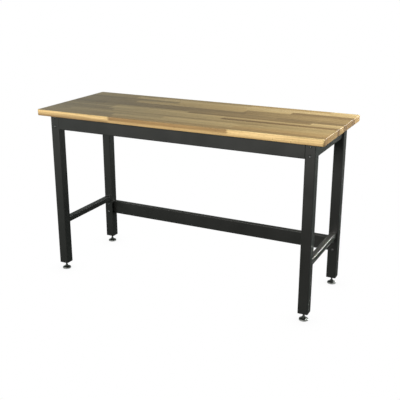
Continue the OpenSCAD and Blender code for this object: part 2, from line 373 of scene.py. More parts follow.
class Graph:
    """A node tree with short calls for the nodes that the finishes use."""

    def __init__(self, tree: bpy.types.NodeTree) -> None:
        """Wraps a tree."""
        self.tree = tree

    def feed(self, socket: bpy.types.NodeSocket, value: object) -> None:
        """Gives a socket its value.

        Args:
            socket: the input.
            value: another socket to link it to, or the value itself.
        """
        if isinstance(value, bpy.types.NodeSocket):
            self.tree.links.new(value, socket)
        elif socket.type == "RGBA" and len(value) == 3:
            socket.default_value = (*value, 1.0)
        else:
            socket.default_value = value

    def node(self, kind: str, inputs: dict[str | int, object] | None = None,
             **settings: object) -> bpy.types.Node:
        """Adds a node.

        Args:
            kind: the node's type.
            inputs: what its sockets hold, or what they are linked to.
            **settings: the node's own properties.

        Returns:
            The node.
        """
        made = self.tree.nodes.new(kind)
        for name, value in settings.items():
            setattr(made, name, value)
        for name, value in (inputs or {}).items():
            self.feed(made.inputs[name], value)
        return made

    def math(self, operation: str, a: object, b: object = 0.0, c: object = 0.0,
             clamp: bool = False) -> bpy.types.NodeSocket:
        """Works out a number.

        Args:
            operation: the node's operation.
            a: its first number.
            b: its second number, where it has one.
            c: its third number, where it has one.
            clamp: whether the result is held between 0 and 1.

        Returns:
            The result.
        """
        made = self.node("ShaderNodeMath", {0: a, 1: b, 2: c}, operation=operation,
                         use_clamp=clamp)
        return made.outputs[0]

    def product(self, *factors: object) -> bpy.types.NodeSocket:
        """Multiplies two or more numbers."""
        return functools.reduce(lambda a, b: self.math("MULTIPLY", a, b), factors)

    def greatest(self, *values: object) -> bpy.types.NodeSocket:
        """Takes the greatest of two or more numbers."""
        return functools.reduce(lambda a, b: self.math("MAXIMUM", a, b), values)

    def vector(self, operation: str, a: object, b: object = ORIGIN) -> bpy.types.NodeSocket:
        """Works out a vector, or a number for a length or a dot product."""
        made = self.node("ShaderNodeVectorMath", {0: a, 1: b}, operation=operation)
        return made.outputs["Value" if operation in ("LENGTH", "DOT_PRODUCT") else "Vector"]

    def scaled(self, vector: object, factor: object) -> bpy.types.NodeSocket:
        """Multiplies a vector by a number."""
        made = self.node("ShaderNodeVectorMath", {0: vector, "Scale": factor}, operation="SCALE")
        return made.outputs["Vector"]

    def part(self, vector: object, axis: str) -> bpy.types.NodeSocket:
        """Takes the X, Y or Z out of a vector."""
        return self.node("ShaderNodeSeparateXYZ", {0: vector}).outputs[axis]

    def ease(self, value: object, low: float, high: float, start: float = 0.0,
             end: float = 1.0) -> bpy.types.NodeSocket:
        """Maps a number smoothly from one range to another.

        Args:
            value: the number.
            low: where the change starts.
            high: where it ends.
            start: the result at low and below it.
            end: the result at high and above it.

        Returns:
            The result.
        """
        made = self.node("ShaderNodeMapRange", {
            "Value": value, "From Min": low, "From Max": high, "To Min": start, "To Max": end,
        }, interpolation_type="SMOOTHSTEP")
        return made.outputs["Result"]

    def fade(self, mask: object, share: float) -> bpy.types.NodeSocket:
        """Gives 1 where a mask is 0, and a share where it is 1."""
        return self.ease(mask, 0.0, 1.0, 1.0, share)

    def mix(self, factor: object, a: object, b: object,
            blend: str = "MIX") -> bpy.types.NodeSocket:
        """Mixes two colours.

        Args:
            factor: how much of the second one, from 0 to 1.
            a: the first colour.
            b: the second colour.
            blend: the way in which they are mixed.

        Returns:
            The colour.
        """
        # Its sockets for numbers, vectors and colours share their names, so these go by number
        made = self.node("ShaderNodeMix", {0: factor, 6: a, 7: b}, data_type="RGBA",
                         blend_type=blend)
        return made.outputs[2]

    def tinted(self, mask: object, colour: object, tint: Colour) -> bpy.types.NodeSocket:
        """Multiplies a colour by a tint where a mask is 1."""
        return self.mix(mask, colour, self.mix(1.0, colour, tint, "MULTIPLY"))

    def noise(self, place: object, scale: object = 1.0, *, detail: float,
              roughness: float = 0.5) -> bpy.types.NodeOutputs:
        """Reads a noise texture.

        Args:
            place: where it is read.
            scale: its scale, per unit of the place.
            detail: its number of finer layers.
            roughness: how much each finer layer counts.

        Returns:
            Its outputs, Fac and Color.
        """
        return self.node("ShaderNodeTexNoise", {
            "Vector": place, "Scale": scale, "Detail": detail, "Roughness": roughness,
        }).outputs

    def place(self) -> bpy.types.NodeSocket:
        """The point on the surface, in the piece's own metres."""
        return self.node("ShaderNodeTexCoord").outputs["Object"]

    def normal(self) -> bpy.types.NodeSocket:
        """The direction in which the surface looks."""
        return self.node("ShaderNodeNewGeometry").outputs["Normal"]

    def attribute(self, name: str, kind: str = "Fac") -> bpy.types.NodeSocket:
        """Reads a number, or a Vector, that the mesh carries at each point."""
        return self.node("ShaderNodeAttribute", attribute_name=name).outputs[kind]

    def effect(self, tree: bpy.types.NodeTree, inputs: dict[str, object]
               ) -> bpy.types.NodeOutputs:
        """Places an effect with this material's own values for its inputs."""
        return self.node("ShaderNodeGroup", inputs, node_tree=tree).outputs


class Effect(Graph):
    """A shader group with named inputs and outputs, to be placed in materials."""

    def __init__(self, name: str, inputs: dict[str, object], outputs: Sequence[str]) -> None:
        """Makes the group's sockets.

        Args:
            name: the group's name.
            inputs: each input's first value, a number or a vector.
            outputs: names of the numbers that it puts out.
        """
        tree = bpy.data.node_groups.new(name, "ShaderNodeTree")
        for label, value in inputs.items():
            kind = "NodeSocketVector" if isinstance(value, tuple) else "NodeSocketFloat"
            socket = tree.interface.new_socket(name=label, in_out="INPUT", socket_type=kind)
            socket.default_value = value
        for label in outputs:
            tree.interface.new_socket(name=label, in_out="OUTPUT", socket_type="NodeSocketFloat")
        super().__init__(tree)
        self.entry = tree.nodes.new("NodeGroupInput").outputs
        self.exit = tree.nodes.new("NodeGroupOutput").inputs

    def give(self, outputs: dict[str, object]) -> bpy.types.NodeTree:
        """Links the outputs and hands over the group.

        Args:
            outputs: what each output puts out, by name.

        Returns:
            The group.
        """
        for label, value in outputs.items():
            self.feed(self.exit[label], value)
        return self.tree


@dataclass(frozen=True)
class SharedEffects:
    """The effects that more than one finish uses, each built once."""

    grain: bpy.types.NodeTree
    wear: bpy.types.NodeTree
    dust: bpy.types.NodeTree

    FINE_SCALE = 900.0
    # The limits between which each of these counts from not at all to fully
    BENT_NORMAL = (0.01, 0.2)
    WORN_PATCH = (0.4, 0.62)
    LOOKING_UP = (0.55, 0.98)
    DUST_CLOUD = (0.3, 0.75)

    @classmethod
    def build(cls) -> "SharedEffects":
        """Builds every effect."""
        return cls(cls.build_grain(), cls.build_wear(), cls.build_dust())

    @classmethod
    def build_grain(cls) -> bpy.types.NodeTree:
        """Makes fine unevenness for bumps and broad unevenness for slow changes of tone.

        Returns:
            The group.
        """
        effect = Effect("fine_grain", {"Place": ORIGIN, "Fine Scale": cls.FINE_SCALE,
                                       "Broad Scale": 14.0}, ("Fine", "Broad"))
        place = effect.entry["Place"]
        return effect.give({
            "Fine": effect.noise(place, effect.entry["Fine Scale"], detail=2.0)["Fac"],
            "Broad": effect.noise(place, effect.entry["Broad Scale"], detail=3.0)["Fac"],
        })

    @classmethod
    def build_wear(cls) -> bpy.types.NodeTree:
        """Makes the mask of the worn line along outer edges, broken up by noise.

        Returns:
            The group.
        """
        effect = Effect("edge_wear", {"Place": ORIGIN, "Width": 1.0 * MM, "Break Scale": 60.0},
                        ("Mask",))
        rounded = effect.node("ShaderNodeBevel", {"Radius": effect.entry["Width"]}, samples=4)
        match = effect.vector("DOT_PRODUCT", rounded.outputs["Normal"], effect.normal())
        edge = effect.ease(effect.math("SUBTRACT", 1.0, match), *cls.BENT_NORMAL)
        patches = effect.noise(effect.entry["Place"], effect.entry["Break Scale"], detail=3.0)
        kept = effect.ease(patches["Fac"], *cls.WORN_PATCH)
        return effect.give({"Mask": effect.product(edge, kept)})

    @classmethod
    def build_dust(cls) -> bpy.types.NodeTree:
        """Makes the mask of the dust that lies on faces that look up.

        Returns:
            The group.
        """
        effect = Effect("dust_film", {"Place": ORIGIN, "Scale": 30.0, "Amount": 0.2}, ("Mask",))
        upward = effect.vector("DOT_PRODUCT", effect.normal(), (0.0, 0.0, 1.0))
        clouds = effect.noise(effect.entry["Place"], effect.entry["Scale"], detail=4.0,
                              roughness=0.6)
        return effect.give({"Mask": effect.product(
            effect.ease(upward, *cls.LOOKING_UP), effect.ease(clouds["Fac"], *cls.DUST_CLOUD),
            effect.entry["Amount"])})

    def add_grain(self, graph: Graph, place: object, broad: float,
                  fine: float = FINE_SCALE) -> bpy.types.NodeOutputs:
        """Puts the grain in a material, with the scales of its broad and fine noise."""
        return graph.effect(self.grain, {"Place": place, "Fine Scale": fine,
                                         "Broad Scale": broad})

    def add_wear(self, graph: Graph, place: object, width: float,
                 breaks: float) -> bpy.types.NodeSocket:
        """Masks the worn edges, with their width and the scale that breaks them up."""
        return graph.effect(self.wear, {"Place": place, "Width": width,
                                        "Break Scale": breaks})["Mask"]

    def add_dust(self, graph: Graph, place: object, scale: float,
                 amount: float) -> bpy.types.NodeSocket:
        """Masks the dust, with its clouds' scale and how much lies where it is thickest."""
        return graph.effect(self.dust, {"Place": place, "Scale": scale,
                                        "Amount": amount})["Mask"]


class MaterialGraph(Graph):
    """A material of one Principled surface."""

    def __init__(self, name: str) -> None:
        """Makes the material with its surface and output.

        Args:
            name: the material's name.
        """
        self.material = bpy.data.materials.new(name)
        self.material.use_nodes = True
        super().__init__(self.material.node_tree)
        self.tree.nodes.clear()
        self.surface = self.tree.nodes.new("ShaderNodeBsdfPrincipled")
        output = self.tree.nodes.new("ShaderNodeOutputMaterial")
        self.tree.links.new(self.surface.outputs["BSDF"], output.inputs["Surface"])

    def dress(self, **inputs: object) -> None:
        """Sets or links the surface's sockets; an underscore stands for a space."""
        for name, value in inputs.items():
            self.feed(self.surface.inputs[name.replace("_", " ")], value)

    def relief(self, height: object, depth: float) -> bpy.types.NodeSocket:
        """Turns heights from 0 to 1 into a normal, over a depth in metres."""
        return self.node("ShaderNodeBump", {"Height": height, "Distance": depth}).outputs["Normal"]


# Finishes

@dataclass(frozen=True)
class PowderCoat:
    """Satin black powder coat with a fine orange peel."""

    name: str = "black_powder_coat"
    colour: Colour = (0.0108, 0.0108, 0.0099)
    faded: Colour = (0.0148, 0.0148, 0.0136)
    worn: Colour = (0.05, 0.05, 0.047)
    dust: Colour = (0.30, 0.28, 0.24)
    roughness: float = 0.38
    gloss_index: float = 1.6
    peel_scale: float = 750.0
    peel_depth: float = 0.008 * MM
    fade_scale: float = 9.0
    fade_roughness: float = 0.12
    wear_width: float = 1.0 * MM
    wear_scale: float = 45.0
    wear_share: float = 0.35
    dust_scale: float = 7.0
    dust_amount: float = 0.10
    dust_roughness: float = 0.6

    def material(self, effects: SharedEffects) -> bpy.types.Material:
        """Builds the paint.

        Args:
            effects: the shared effects.

        Returns:
            The material.
        """
        graph = MaterialGraph(self.name)
        place = graph.place()
        grain = effects.add_grain(graph, place, self.fade_scale, self.peel_scale)
        wear = effects.add_wear(graph, place, self.wear_width, self.wear_scale)
        dust = effects.add_dust(graph, place, self.dust_scale, self.dust_amount)
        paint = graph.mix(grain["Broad"], self.colour, self.faded)
        paint = graph.mix(graph.product(wear, self.wear_share), paint, self.worn)
        paint = graph.mix(dust, paint, self.dust)
        rough = graph.math("MULTIPLY_ADD", grain["Broad"], self.fade_roughness,
                           self.roughness - self.fade_roughness / 2)
        rough = graph.math("MULTIPLY_ADD", dust, self.dust_roughness, rough, clamp=True)
        graph.dress(Base_Color=paint, Roughness=rough, IOR=self.gloss_index,
                    Normal=graph.relief(grain["Fine"], self.peel_depth))
        return graph.material


@dataclass(frozen=True)
class Plating:
    """Plated or blackened steel, turned or rolled, with fine marks round its axis."""

    name: str
    colour: Colour
    stained: Colour
    roughness: float
    metallic: float = 1.0
    grain_scale: float = 1800.0
    turned_scale: float = 2600.0
    turned_stretch: Point = (0.06, 0.06, 1.0)
    turned_share: float = 0.6
    turned_depth: float = 0.012 * MM
    stain_scale: float = 160.0
    stain_limits: Limits = (0.38, 0.68)
    stain_roughness: float = 0.10
    worn: Colour = (0.62, 0.62, 0.60)
    wear_width: float = 0.35 * MM
    wear_scale: float = 300.0
    wear_share: float = 0.5
    dust: Colour = (0.32, 0.30, 0.27)
    dust_scale: float = 190.0
    dust_amount: float = 0.12
    dust_roughness: float = 0.8
    # The lip of a pad, rougher than its cone and painted paler, a painted highlight for the light
    # that its rim catches: its height, or 0 for none
    lip_highlight_height: float = 0.0
    lip_blend: float = 0.5 * MM
    lip: Colour = (0.50, 0.51, 0.50)
    lip_roughness: float = 0.16

    def material(self, effects: SharedEffects) -> bpy.types.Material:
        """Builds the metal.

        Args:
            effects: the shared effects.

        Returns:
            The material.
        """
        graph = MaterialGraph(self.name)
        place = graph.place()
        grain = effects.add_grain(graph, place, self.stain_scale, self.grain_scale)
        wear = effects.add_wear(graph, place, self.wear_width, self.wear_scale)
        dust = effects.add_dust(graph, place, self.dust_scale, self.dust_amount)
        stain = graph.ease(grain["Broad"], *self.stain_limits)
        metal = graph.mix(stain, self.colour, self.stained)
        metal = graph.mix(graph.product(wear, self.wear_share), metal, self.worn)
        metal = graph.mix(dust, metal, self.dust)
        rough = graph.math("MULTIPLY_ADD", stain, self.stain_roughness, self.roughness)
        # Painted highlight: below the lip's height the metal is paler than the cone
        if self.lip_highlight_height:
            lip = graph.ease(graph.part(place, "Z"), self.lip_highlight_height - self.lip_blend,
                             self.lip_highlight_height + self.lip_blend, 1.0, 0.0)
            metal = graph.mix(lip, metal, self.lip)
            rough = graph.math("MULTIPLY_ADD", lip, self.lip_roughness, rough)
        rough = graph.math("MULTIPLY_ADD", dust, self.dust_roughness, rough, clamp=True)
        turned = graph.noise(graph.vector("MULTIPLY", place, self.turned_stretch),
                             self.turned_scale, detail=1.0)
        height = graph.math("MULTIPLY_ADD", turned["Fac"], self.turned_share,
                            graph.product(grain["Fine"], 1 - self.turned_share))
        graph.dress(Base_Color=metal, Roughness=rough, Metallic=self.metallic,
                    Normal=graph.relief(height, self.turned_depth))
        return graph.material


@dataclass(frozen=True)
class MouldedPlastic:
    """Matt black plastic with a spark-eroded texture."""

    name: str = "moulded_black_plastic"
    colour: Colour = (0.020, 0.020, 0.020)
    scuffed: Colour = (0.075, 0.072, 0.068)
    scuff_scale: float = 240.0
    scuff_limits: Limits = (0.5, 0.75)
    scuff_share: float = 0.5
    wear_width: float = 0.6 * MM
    wear_scale: float = 500.0
    wear_share: float = 0.6
    roughness: float = 0.58
    texture_scale: float = 2400.0
    texture_roughness: float = 0.14
    texture_depth: float = 0.03 * MM

    def material(self, effects: SharedEffects) -> bpy.types.Material:
        """Builds the plastic.

        Args:
            effects: the shared effects.

        Returns:
            The material.
        """
        graph = MaterialGraph(self.name)
        place = graph.place()
        grain = effects.add_grain(graph, place, self.scuff_scale, self.texture_scale)
        wear = effects.add_wear(graph, place, self.wear_width, self.wear_scale)
        scuffs = graph.ease(grain["Broad"], *self.scuff_limits)
        marked = graph.greatest(graph.product(scuffs, self.scuff_share),
                                graph.product(wear, self.wear_share))
        rough = graph.math("MULTIPLY_ADD", grain["Fine"], self.texture_roughness, self.roughness)
        graph.dress(Base_Color=graph.mix(marked, self.colour, self.scuffed), Roughness=rough,
                    Normal=graph.relief(grain["Fine"], self.texture_depth))
        return graph.material


@dataclass(frozen=True)
class Knot:
    """A small knot: where it shows, the way that its branch grew, its half width and depth.

    Its place is in mm, from the middle of the slab's upper front edge.
    """

    offset: Point
    axis: Point
    radius: float
    reach: float = 24.0 * MM


@dataclass(frozen=True)
class Fibre:
    """A noise drawn out along the grain: its scales per metre, and its finer layers."""

    along: float
    across: float
    layers: float


@dataclass(frozen=True)
class OiledWood:
    """Oiled staves: growth rings round a pith line, sapwood, pores, streaks and knots."""

    name: str = "oiled_butcher_block"
    # Colours of the staves from dark to pale, and of their sapwood
    tones: tuple[Colour, ...] = (
        (0.200, 0.128, 0.056),
        (0.315, 0.214, 0.096),
        (0.445, 0.322, 0.145),
        (0.575, 0.420, 0.192),
        (0.71, 0.542, 0.286),
    )
    sapwood: Colour = (0.92, 0.70, 0.335)
    warm_tint: Colour = (1.10, 0.93, 0.74)
    # The sapwood's border: its softness, and how much of the rings' wander it follows
    sap_blend: float = 3.0 * MM
    sap_wander: float = 0.2
    # Growth rings, their uneven widths and their dark late wood
    ring_width: float = 3.4 * MM
    ring_drift: float = 2.4
    ring_noise: Fibre = Fibre(0.4, 60.0, 1.0)
    late_wood: float = 0.80
    late_start: Limits = (0.35, 0.92)
    late_end: Limits = (0.94, 1.0)
    wander: float = 18.0 * MM
    wander_noise: Fibre = Fibre(1.7, 5.0, 1.0)
    # Slow changes of tone along and across a stave
    band_noise: Fibre = Fibre(1.3, 52.0, 3.0)
    band_limits: Limits = (0.25, 0.75)
    band_drift: float = 0.13
    broad_scale: float = 7.0
    broad_limits: Limits = (0.3, 0.7)
    broad_drift: float = 0.03
    # Fine streaks and open pores
    streak_noise: Fibre = Fibre(5.0, 420.0, 3.0)
    streak_limits: Limits = (0.25, 0.75)
    streak_shades: Limits = (0.88, 1.07)
    streak_roughness: float = 0.14
    streak_height: float = 0.35
    pore_noise: Fibre = Fibre(75.0, 1500.0, 0.0)
    pore_limits: Limits = (0.66, 0.76)
    pore_shade: float = 0.55
    pore_roughness: float = 0.2
    pore_depth: float = 0.65
    # How much faster than red the green and the blue fall where the figure is dark
    green_power: float = 1.12
    blue_power: float = 1.35
    # The oiled surface, and the glue lines between strips
    roughness: float = 0.35
    relief: float = 0.045 * MM
    glue_half_width: float = 0.12 * MM
    glue_blur: float = 0.6
    glue_shade: float = 0.62
    # What sets the end grain apart from the top, and the painted light on the long edges: a tint
    # that makes them warmer and redder than the top, as if warmer light fell on them
    facing_limits: Limits = (0.6, 0.95)
    end_shade: float = 0.93
    end_tint: Colour = (1.0, 0.88, 0.81)
    edge_painted_light_tint: Colour = (1.05, 0.96, 0.93)
    end_roughness: float = 0.16
    end_relief: float = 0.2
    # Knots, and how far the rings bend round them
    knot_shade: float = 0.42
    knot_bulge: float = 5.0 * MM
    knots: tuple[Knot, ...] = (
        Knot(offset=(528.0, 0.0, -21.5), axis=(0.10, 1.0, 0.15), radius=2.6 * MM),
        Knot(offset=(613.0, 0.0, -23.5), axis=(-0.15, 1.0, 0.10), radius=3.0 * MM),
        Knot(offset=(-395.0, 72.0, 0.0), axis=(0.1, 0.25, 1.0), radius=3.6 * MM),
        Knot(offset=(318.0, 526.0, 0.0), axis=(0.2, -0.15, 1.0), radius=2.8 * MM),
    )

    # Distances from a knot's axis, in radii, over which its core and its halo fade
    CORE_EDGE = (0.75, 1.15)
    HALO_EDGE = (1.0, 3.6)
    # What one unit of a stave's seed adds to the place of its noises
    SEED_STEP = (7.3, 3.1, 5.7)
    ACROSS_GRAIN = (0.0, 1.0, 1.0)
    MIDDLE_GREY = (0.5, 0.5, 0.5)

    def knot_effect(self) -> bpy.types.NodeTree:
        """Makes the group that says how near a point is to one knot's branch.

        Returns:
            The group.
        """
        effect = Effect("knot", {"Place": ORIGIN, "Middle": ORIGIN, "Axis": (0.0, 0.0, 1.0),
                                 "Radius": 3.0 * MM, "Reach": 20.0 * MM}, ("Core", "Halo"))
        offset = effect.vector("SUBTRACT", effect.entry["Place"], effect.entry["Middle"])
        axis = effect.vector("NORMALIZE", effect.entry["Axis"])
        along = effect.math("ABSOLUTE", effect.vector("DOT_PRODUCT", offset, axis))
        away = effect.vector("LENGTH", effect.vector("CROSS_PRODUCT", offset, axis))
        share = effect.math("DIVIDE", away, effect.entry["Radius"])
        inside = effect.math("LESS_THAN", along, effect.entry["Reach"])
        return effect.give({
            label: effect.product(effect.ease(share, *edge, 1.0, 0.0), inside)
            for label, edge in (("Core", self.CORE_EDGE), ("Halo", self.HALO_EDGE))
        })

    def figure_effect(self) -> bpy.types.NodeTree:
        """Makes the group that finds rings, streaks, bands and pores in a stave.

        Returns:
            The group.
        """
        effect = Effect("wood_figure", {
            "Place": ORIGIN, "Pith": ORIGIN, "Seed": 0.0, "Wander": 10.0 * MM,
            "Ring Width": 3.0 * MM, "Bulge": 0.0, "Sap Wander": 0.2,
        }, ("Radius", "Late Wood", "Streaks", "Bands", "Pores"))
        place = effect.vector("ADD", effect.entry["Place"],
                              effect.scaled(self.SEED_STEP, effect.entry["Seed"]))

        def drawn(fibre: Fibre) -> bpy.types.NodeOutputs:
            """Reads a noise that is drawn out along the grain."""
            scales = (fibre.along, fibre.across, fibre.across)
            return effect.noise(effect.vector("MULTIPLY", place, scales), detail=fibre.layers)

        offset = effect.vector("SUBTRACT", effect.entry["Place"], effect.entry["Pith"])
        straight = effect.vector("LENGTH", effect.vector("MULTIPLY", offset, self.ACROSS_GRAIN))
        slow = effect.vector("SUBTRACT", drawn(self.wander_noise)["Color"], self.MIDDLE_GREY)
        wandered = effect.vector("ADD", offset, effect.scaled(slow, effect.entry["Wander"]))
        across = effect.vector("MULTIPLY", wandered, self.ACROSS_GRAIN)
        radius = effect.math("ADD", effect.vector("LENGTH", across), effect.entry["Bulge"])
        rings = effect.math("MULTIPLY_ADD", drawn(self.ring_noise)["Fac"], self.ring_drift,
                            effect.math("DIVIDE", radius, effect.entry["Ring Width"]))
        phase = effect.math("FRACT", rings)
        return effect.give({
            "Radius": effect.math("MULTIPLY_ADD", effect.math("SUBTRACT", radius, straight),
                                  effect.entry["Sap Wander"], straight),
            "Late Wood": effect.product(effect.ease(phase, *self.late_start),
                                        effect.ease(phase, *self.late_end, 1.0, 0.0)),
            "Streaks": drawn(self.streak_noise)["Fac"],
            "Bands": drawn(self.band_noise)["Fac"],
            "Pores": effect.ease(drawn(self.pore_noise)["Fac"], *self.pore_limits),
        })

    def material(self, effects: SharedEffects) -> bpy.types.Material:
        """Builds the wood.

        Args:
            effects: the shared effects.

        Returns:
            The material.
        """
        graph = MaterialGraph(self.name)
        place = graph.place()
        core, halo = self.near_knots(graph, place)
        figure = graph.effect(self.figure_effect(), {
            "Place": place, "Pith": graph.attribute("pith", "Vector"),
            "Seed": graph.attribute("seed"), "Wander": self.wander,
            "Ring Width": self.ring_width, "Bulge": graph.product(halo, self.knot_bulge),
            "Sap Wander": self.sap_wander,
        })
        cut = self.looking(graph, (1.0, 0.0, 0.0))
        edge = self.looking(graph, (0.0, 1.0, 0.0))
        grain = effects.add_grain(graph, place, self.broad_scale)
        wood = self.stave_colour(graph, figure, grain["Broad"])
        shade = graph.product(self.figure_shade(graph, figure), graph.fade(cut, self.end_shade),
                              graph.fade(core, self.knot_shade), self.glue_line(graph, place))
        shade = graph.node("ShaderNodeCombineColor", {
            "Red": shade, "Green": graph.math("POWER", shade, self.green_power),
            "Blue": graph.math("POWER", shade, self.blue_power),
        }).outputs["Color"]
        wood = graph.mix(1.0, wood, shade, "MULTIPLY")
        wood = graph.tinted(cut, wood, self.end_tint)
        # Painted light: the long edges are tinted warmer and redder than the top
        wood = graph.tinted(edge, wood, self.edge_painted_light_tint)
        rough = graph.math("MULTIPLY_ADD", figure["Streaks"], self.streak_roughness,
                           self.roughness - self.streak_roughness / 2)
        rough = graph.math("MULTIPLY_ADD", figure["Pores"], self.pore_roughness, rough)
        rough = graph.math("MULTIPLY_ADD", cut, self.end_roughness, rough, clamp=True)
        height = graph.math("SUBTRACT", graph.product(figure["Streaks"], self.streak_height),
                            graph.product(figure["Pores"], self.pore_depth))
        height = graph.product(height, graph.fade(cut, self.end_relief))
        graph.dress(Base_Color=wood, Roughness=rough, Normal=graph.relief(height, self.relief))
        return graph.material

    def near_knots(self, graph: Graph, place: bpy.types.NodeSocket
                   ) -> tuple[bpy.types.NodeSocket, bpy.types.NodeSocket]:
        """Finds how near the point is to any knot.

        Args:
            graph: the material's graph.
            place: the point on the surface.

        Returns:
            The knot's own mask and that of the fibres that bend round it.
        """
        effect = self.knot_effect()
        slab = Span.of("wood_top")
        edge = Vector((slab.centre.x, slab.low.y, slab.high.z))
        found = [graph.effect(effect, {"Place": place, "Middle": edge + Vector(knot.offset) * MM,
                                       "Axis": knot.axis, "Radius": knot.radius,
                                       "Reach": knot.reach}) for knot in self.knots]
        return (graph.greatest(*(near["Core"] for near in found)),
                graph.greatest(*(near["Halo"] for near in found)))

    def stave_colour(self, graph: Graph, figure: bpy.types.NodeOutputs,
                     broad: bpy.types.NodeSocket) -> bpy.types.NodeSocket:
        """Gives the stave's own colour, with darker and lighter bands and its sapwood.

        Args:
            graph: the material's graph.
            figure: what the figure's group puts out.
            broad: slow noise over the whole top.

        Returns:
            The colour.
        """
        drift = graph.math("ADD", graph.ease(figure["Bands"], *self.band_limits,
                                             -self.band_drift, self.band_drift),
                           graph.ease(broad, *self.broad_limits,
                                      -self.broad_drift, self.broad_drift))
        ramp = graph.node("ShaderNodeValToRGB",
                          {0: graph.math("ADD", graph.attribute("tone"), drift)})
        stops = ramp.color_ramp.elements
        while len(stops) < len(self.tones):
            stops.new(0.5)
        for i, (stop, colour) in enumerate(zip(stops, self.tones)):
            stop.position = i / (len(self.tones) - 1)
            stop.color = (*colour, 1.0)
        wood = graph.tinted(graph.attribute("warmth"), ramp.outputs["Color"], self.warm_tint)
        past = graph.math("SUBTRACT", figure["Radius"], graph.attribute("heart"))
        sap = graph.product(graph.ease(past, -self.sap_blend, self.sap_blend),
                            graph.attribute("sap"))
        return graph.mix(sap, wood, self.sapwood)

    def figure_shade(self, graph: Graph,
                     figure: bpy.types.NodeOutputs) -> bpy.types.NodeSocket:
        """Works out what the rings, the streaks and the pores take off the colour.

        Args:
            graph: the material's graph.
            figure: what the figure's group puts out.

        Returns:
            The share of the colour that stays.
        """
        streaks = graph.ease(figure["Streaks"], *self.streak_limits, *self.streak_shades)
        return graph.product(graph.fade(figure["Late Wood"], self.late_wood), streaks,
                             graph.fade(figure["Pores"], self.pore_shade))

    def looking(self, graph: Graph, axis: Point) -> bpy.types.NodeSocket:
        """Masks the faces that look along an axis, either way."""
        along = graph.math("ABSOLUTE", graph.vector("DOT_PRODUCT", graph.normal(), axis))
        return graph.ease(along, *self.facing_limits)

    def glue_line(self, graph: Graph, place: bpy.types.NodeSocket) -> bpy.types.NodeSocket:
        """Draws the thin dark line where two strips are glued.

        Args:
            graph: the material's graph.
            place: the point on the surface.

        Returns:
            The share of the colour that stays.
        """
        sides, y = graph.attribute("sides", "Vector"), graph.part(place, "Y")
        gap = graph.math("MINIMUM", graph.math("SUBTRACT", y, graph.part(sides, "X")),
                         graph.math("SUBTRACT", graph.part(sides, "Y"), y))
        return graph.ease(gap, (1 - self.glue_blur) * self.glue_half_width,
                          (1 + self.glue_blur) * self.glue_half_width, self.glue_shade, 1.0)


@dataclass(frozen=True)
class Finishes:
    """Every material of the bench, by the record's slot."""

    by_slot: dict[str, bpy.types.Material]

    @classmethod
    def build(cls) -> "Finishes":
        """Builds the shared effects and each finish.

        Returns:
            The finishes.
        """
        effects = SharedEffects.build()
        kinds = {
            "butcher_block": OiledWood(),
            "black_paint": PowderCoat(),
            "black_zinc": Plating("black_zinc_plate", colour=(0.14, 0.14, 0.14),
                                  stained=(0.10, 0.10, 0.105), worn=(0.30, 0.30, 0.30),
                                  roughness=0.30),
            "plain_steel": Plating("plain_zinc_plate", colour=(0.56, 0.56, 0.55),
                                   stained=(0.46, 0.45, 0.41), roughness=0.33),
            "bright_zinc": Plating("bright_zinc_plate", colour=(0.24, 0.25, 0.24),
                                   stained=(0.12, 0.13, 0.12), roughness=0.34,
                                   dust_amount=0.05, lip_highlight_height=7.0 * MM),
            "black_plastic": MouldedPlastic(),
        }
        return cls({slot: kind.material(effects) for slot, kind in kinds.items()})


# Worktop

class Tone(Enum):
    """How dark a stave is, from 0 to 1 along the wood's row of colours."""

    DARK = 0.08
    UMBER = 0.18
    BROWN = 0.25
    RUSSET = 0.37
    TAN = 0.47
    AMBER = 0.56
    HONEY = 0.64
    STRAW = 0.78
    PALE = 0.92


@dataclass(frozen=True)
class Stave:
    """One length of wood in a strip: where its right end is, in mm, and how it looks."""

    end: float
    tone: Tone
    warmth: float = 0.0
    # Its pith line's Y and Z and its heartwood's radius, in mm, and how much the sapwood shows
    pith: tuple[float, float] | None = None
    heart: float | None = None
    sap: float = 0.0


@dataclass(frozen=True)
class Blank:
    """A stave before its ends are cut: its place in the slab, its box and its looks."""

    row: int
    column: int
    low: Vector
    high: Vector
    stave: Stave

    @property
    def middle(self) -> Vector:
        """Middle of its box."""
        return (self.low + self.high) / 2

    def distance(self, x: float, y: float) -> float:
        """How far a point in plan is from its middle, along X and Y together."""
        return abs(self.middle.x - x) + abs(self.middle.y - y)


@dataclass(frozen=True)
class Strip:
    """A row of staves along the bench, jointed end to end, with its width in mm."""

    width: float
    staves: tuple[Stave, ...]


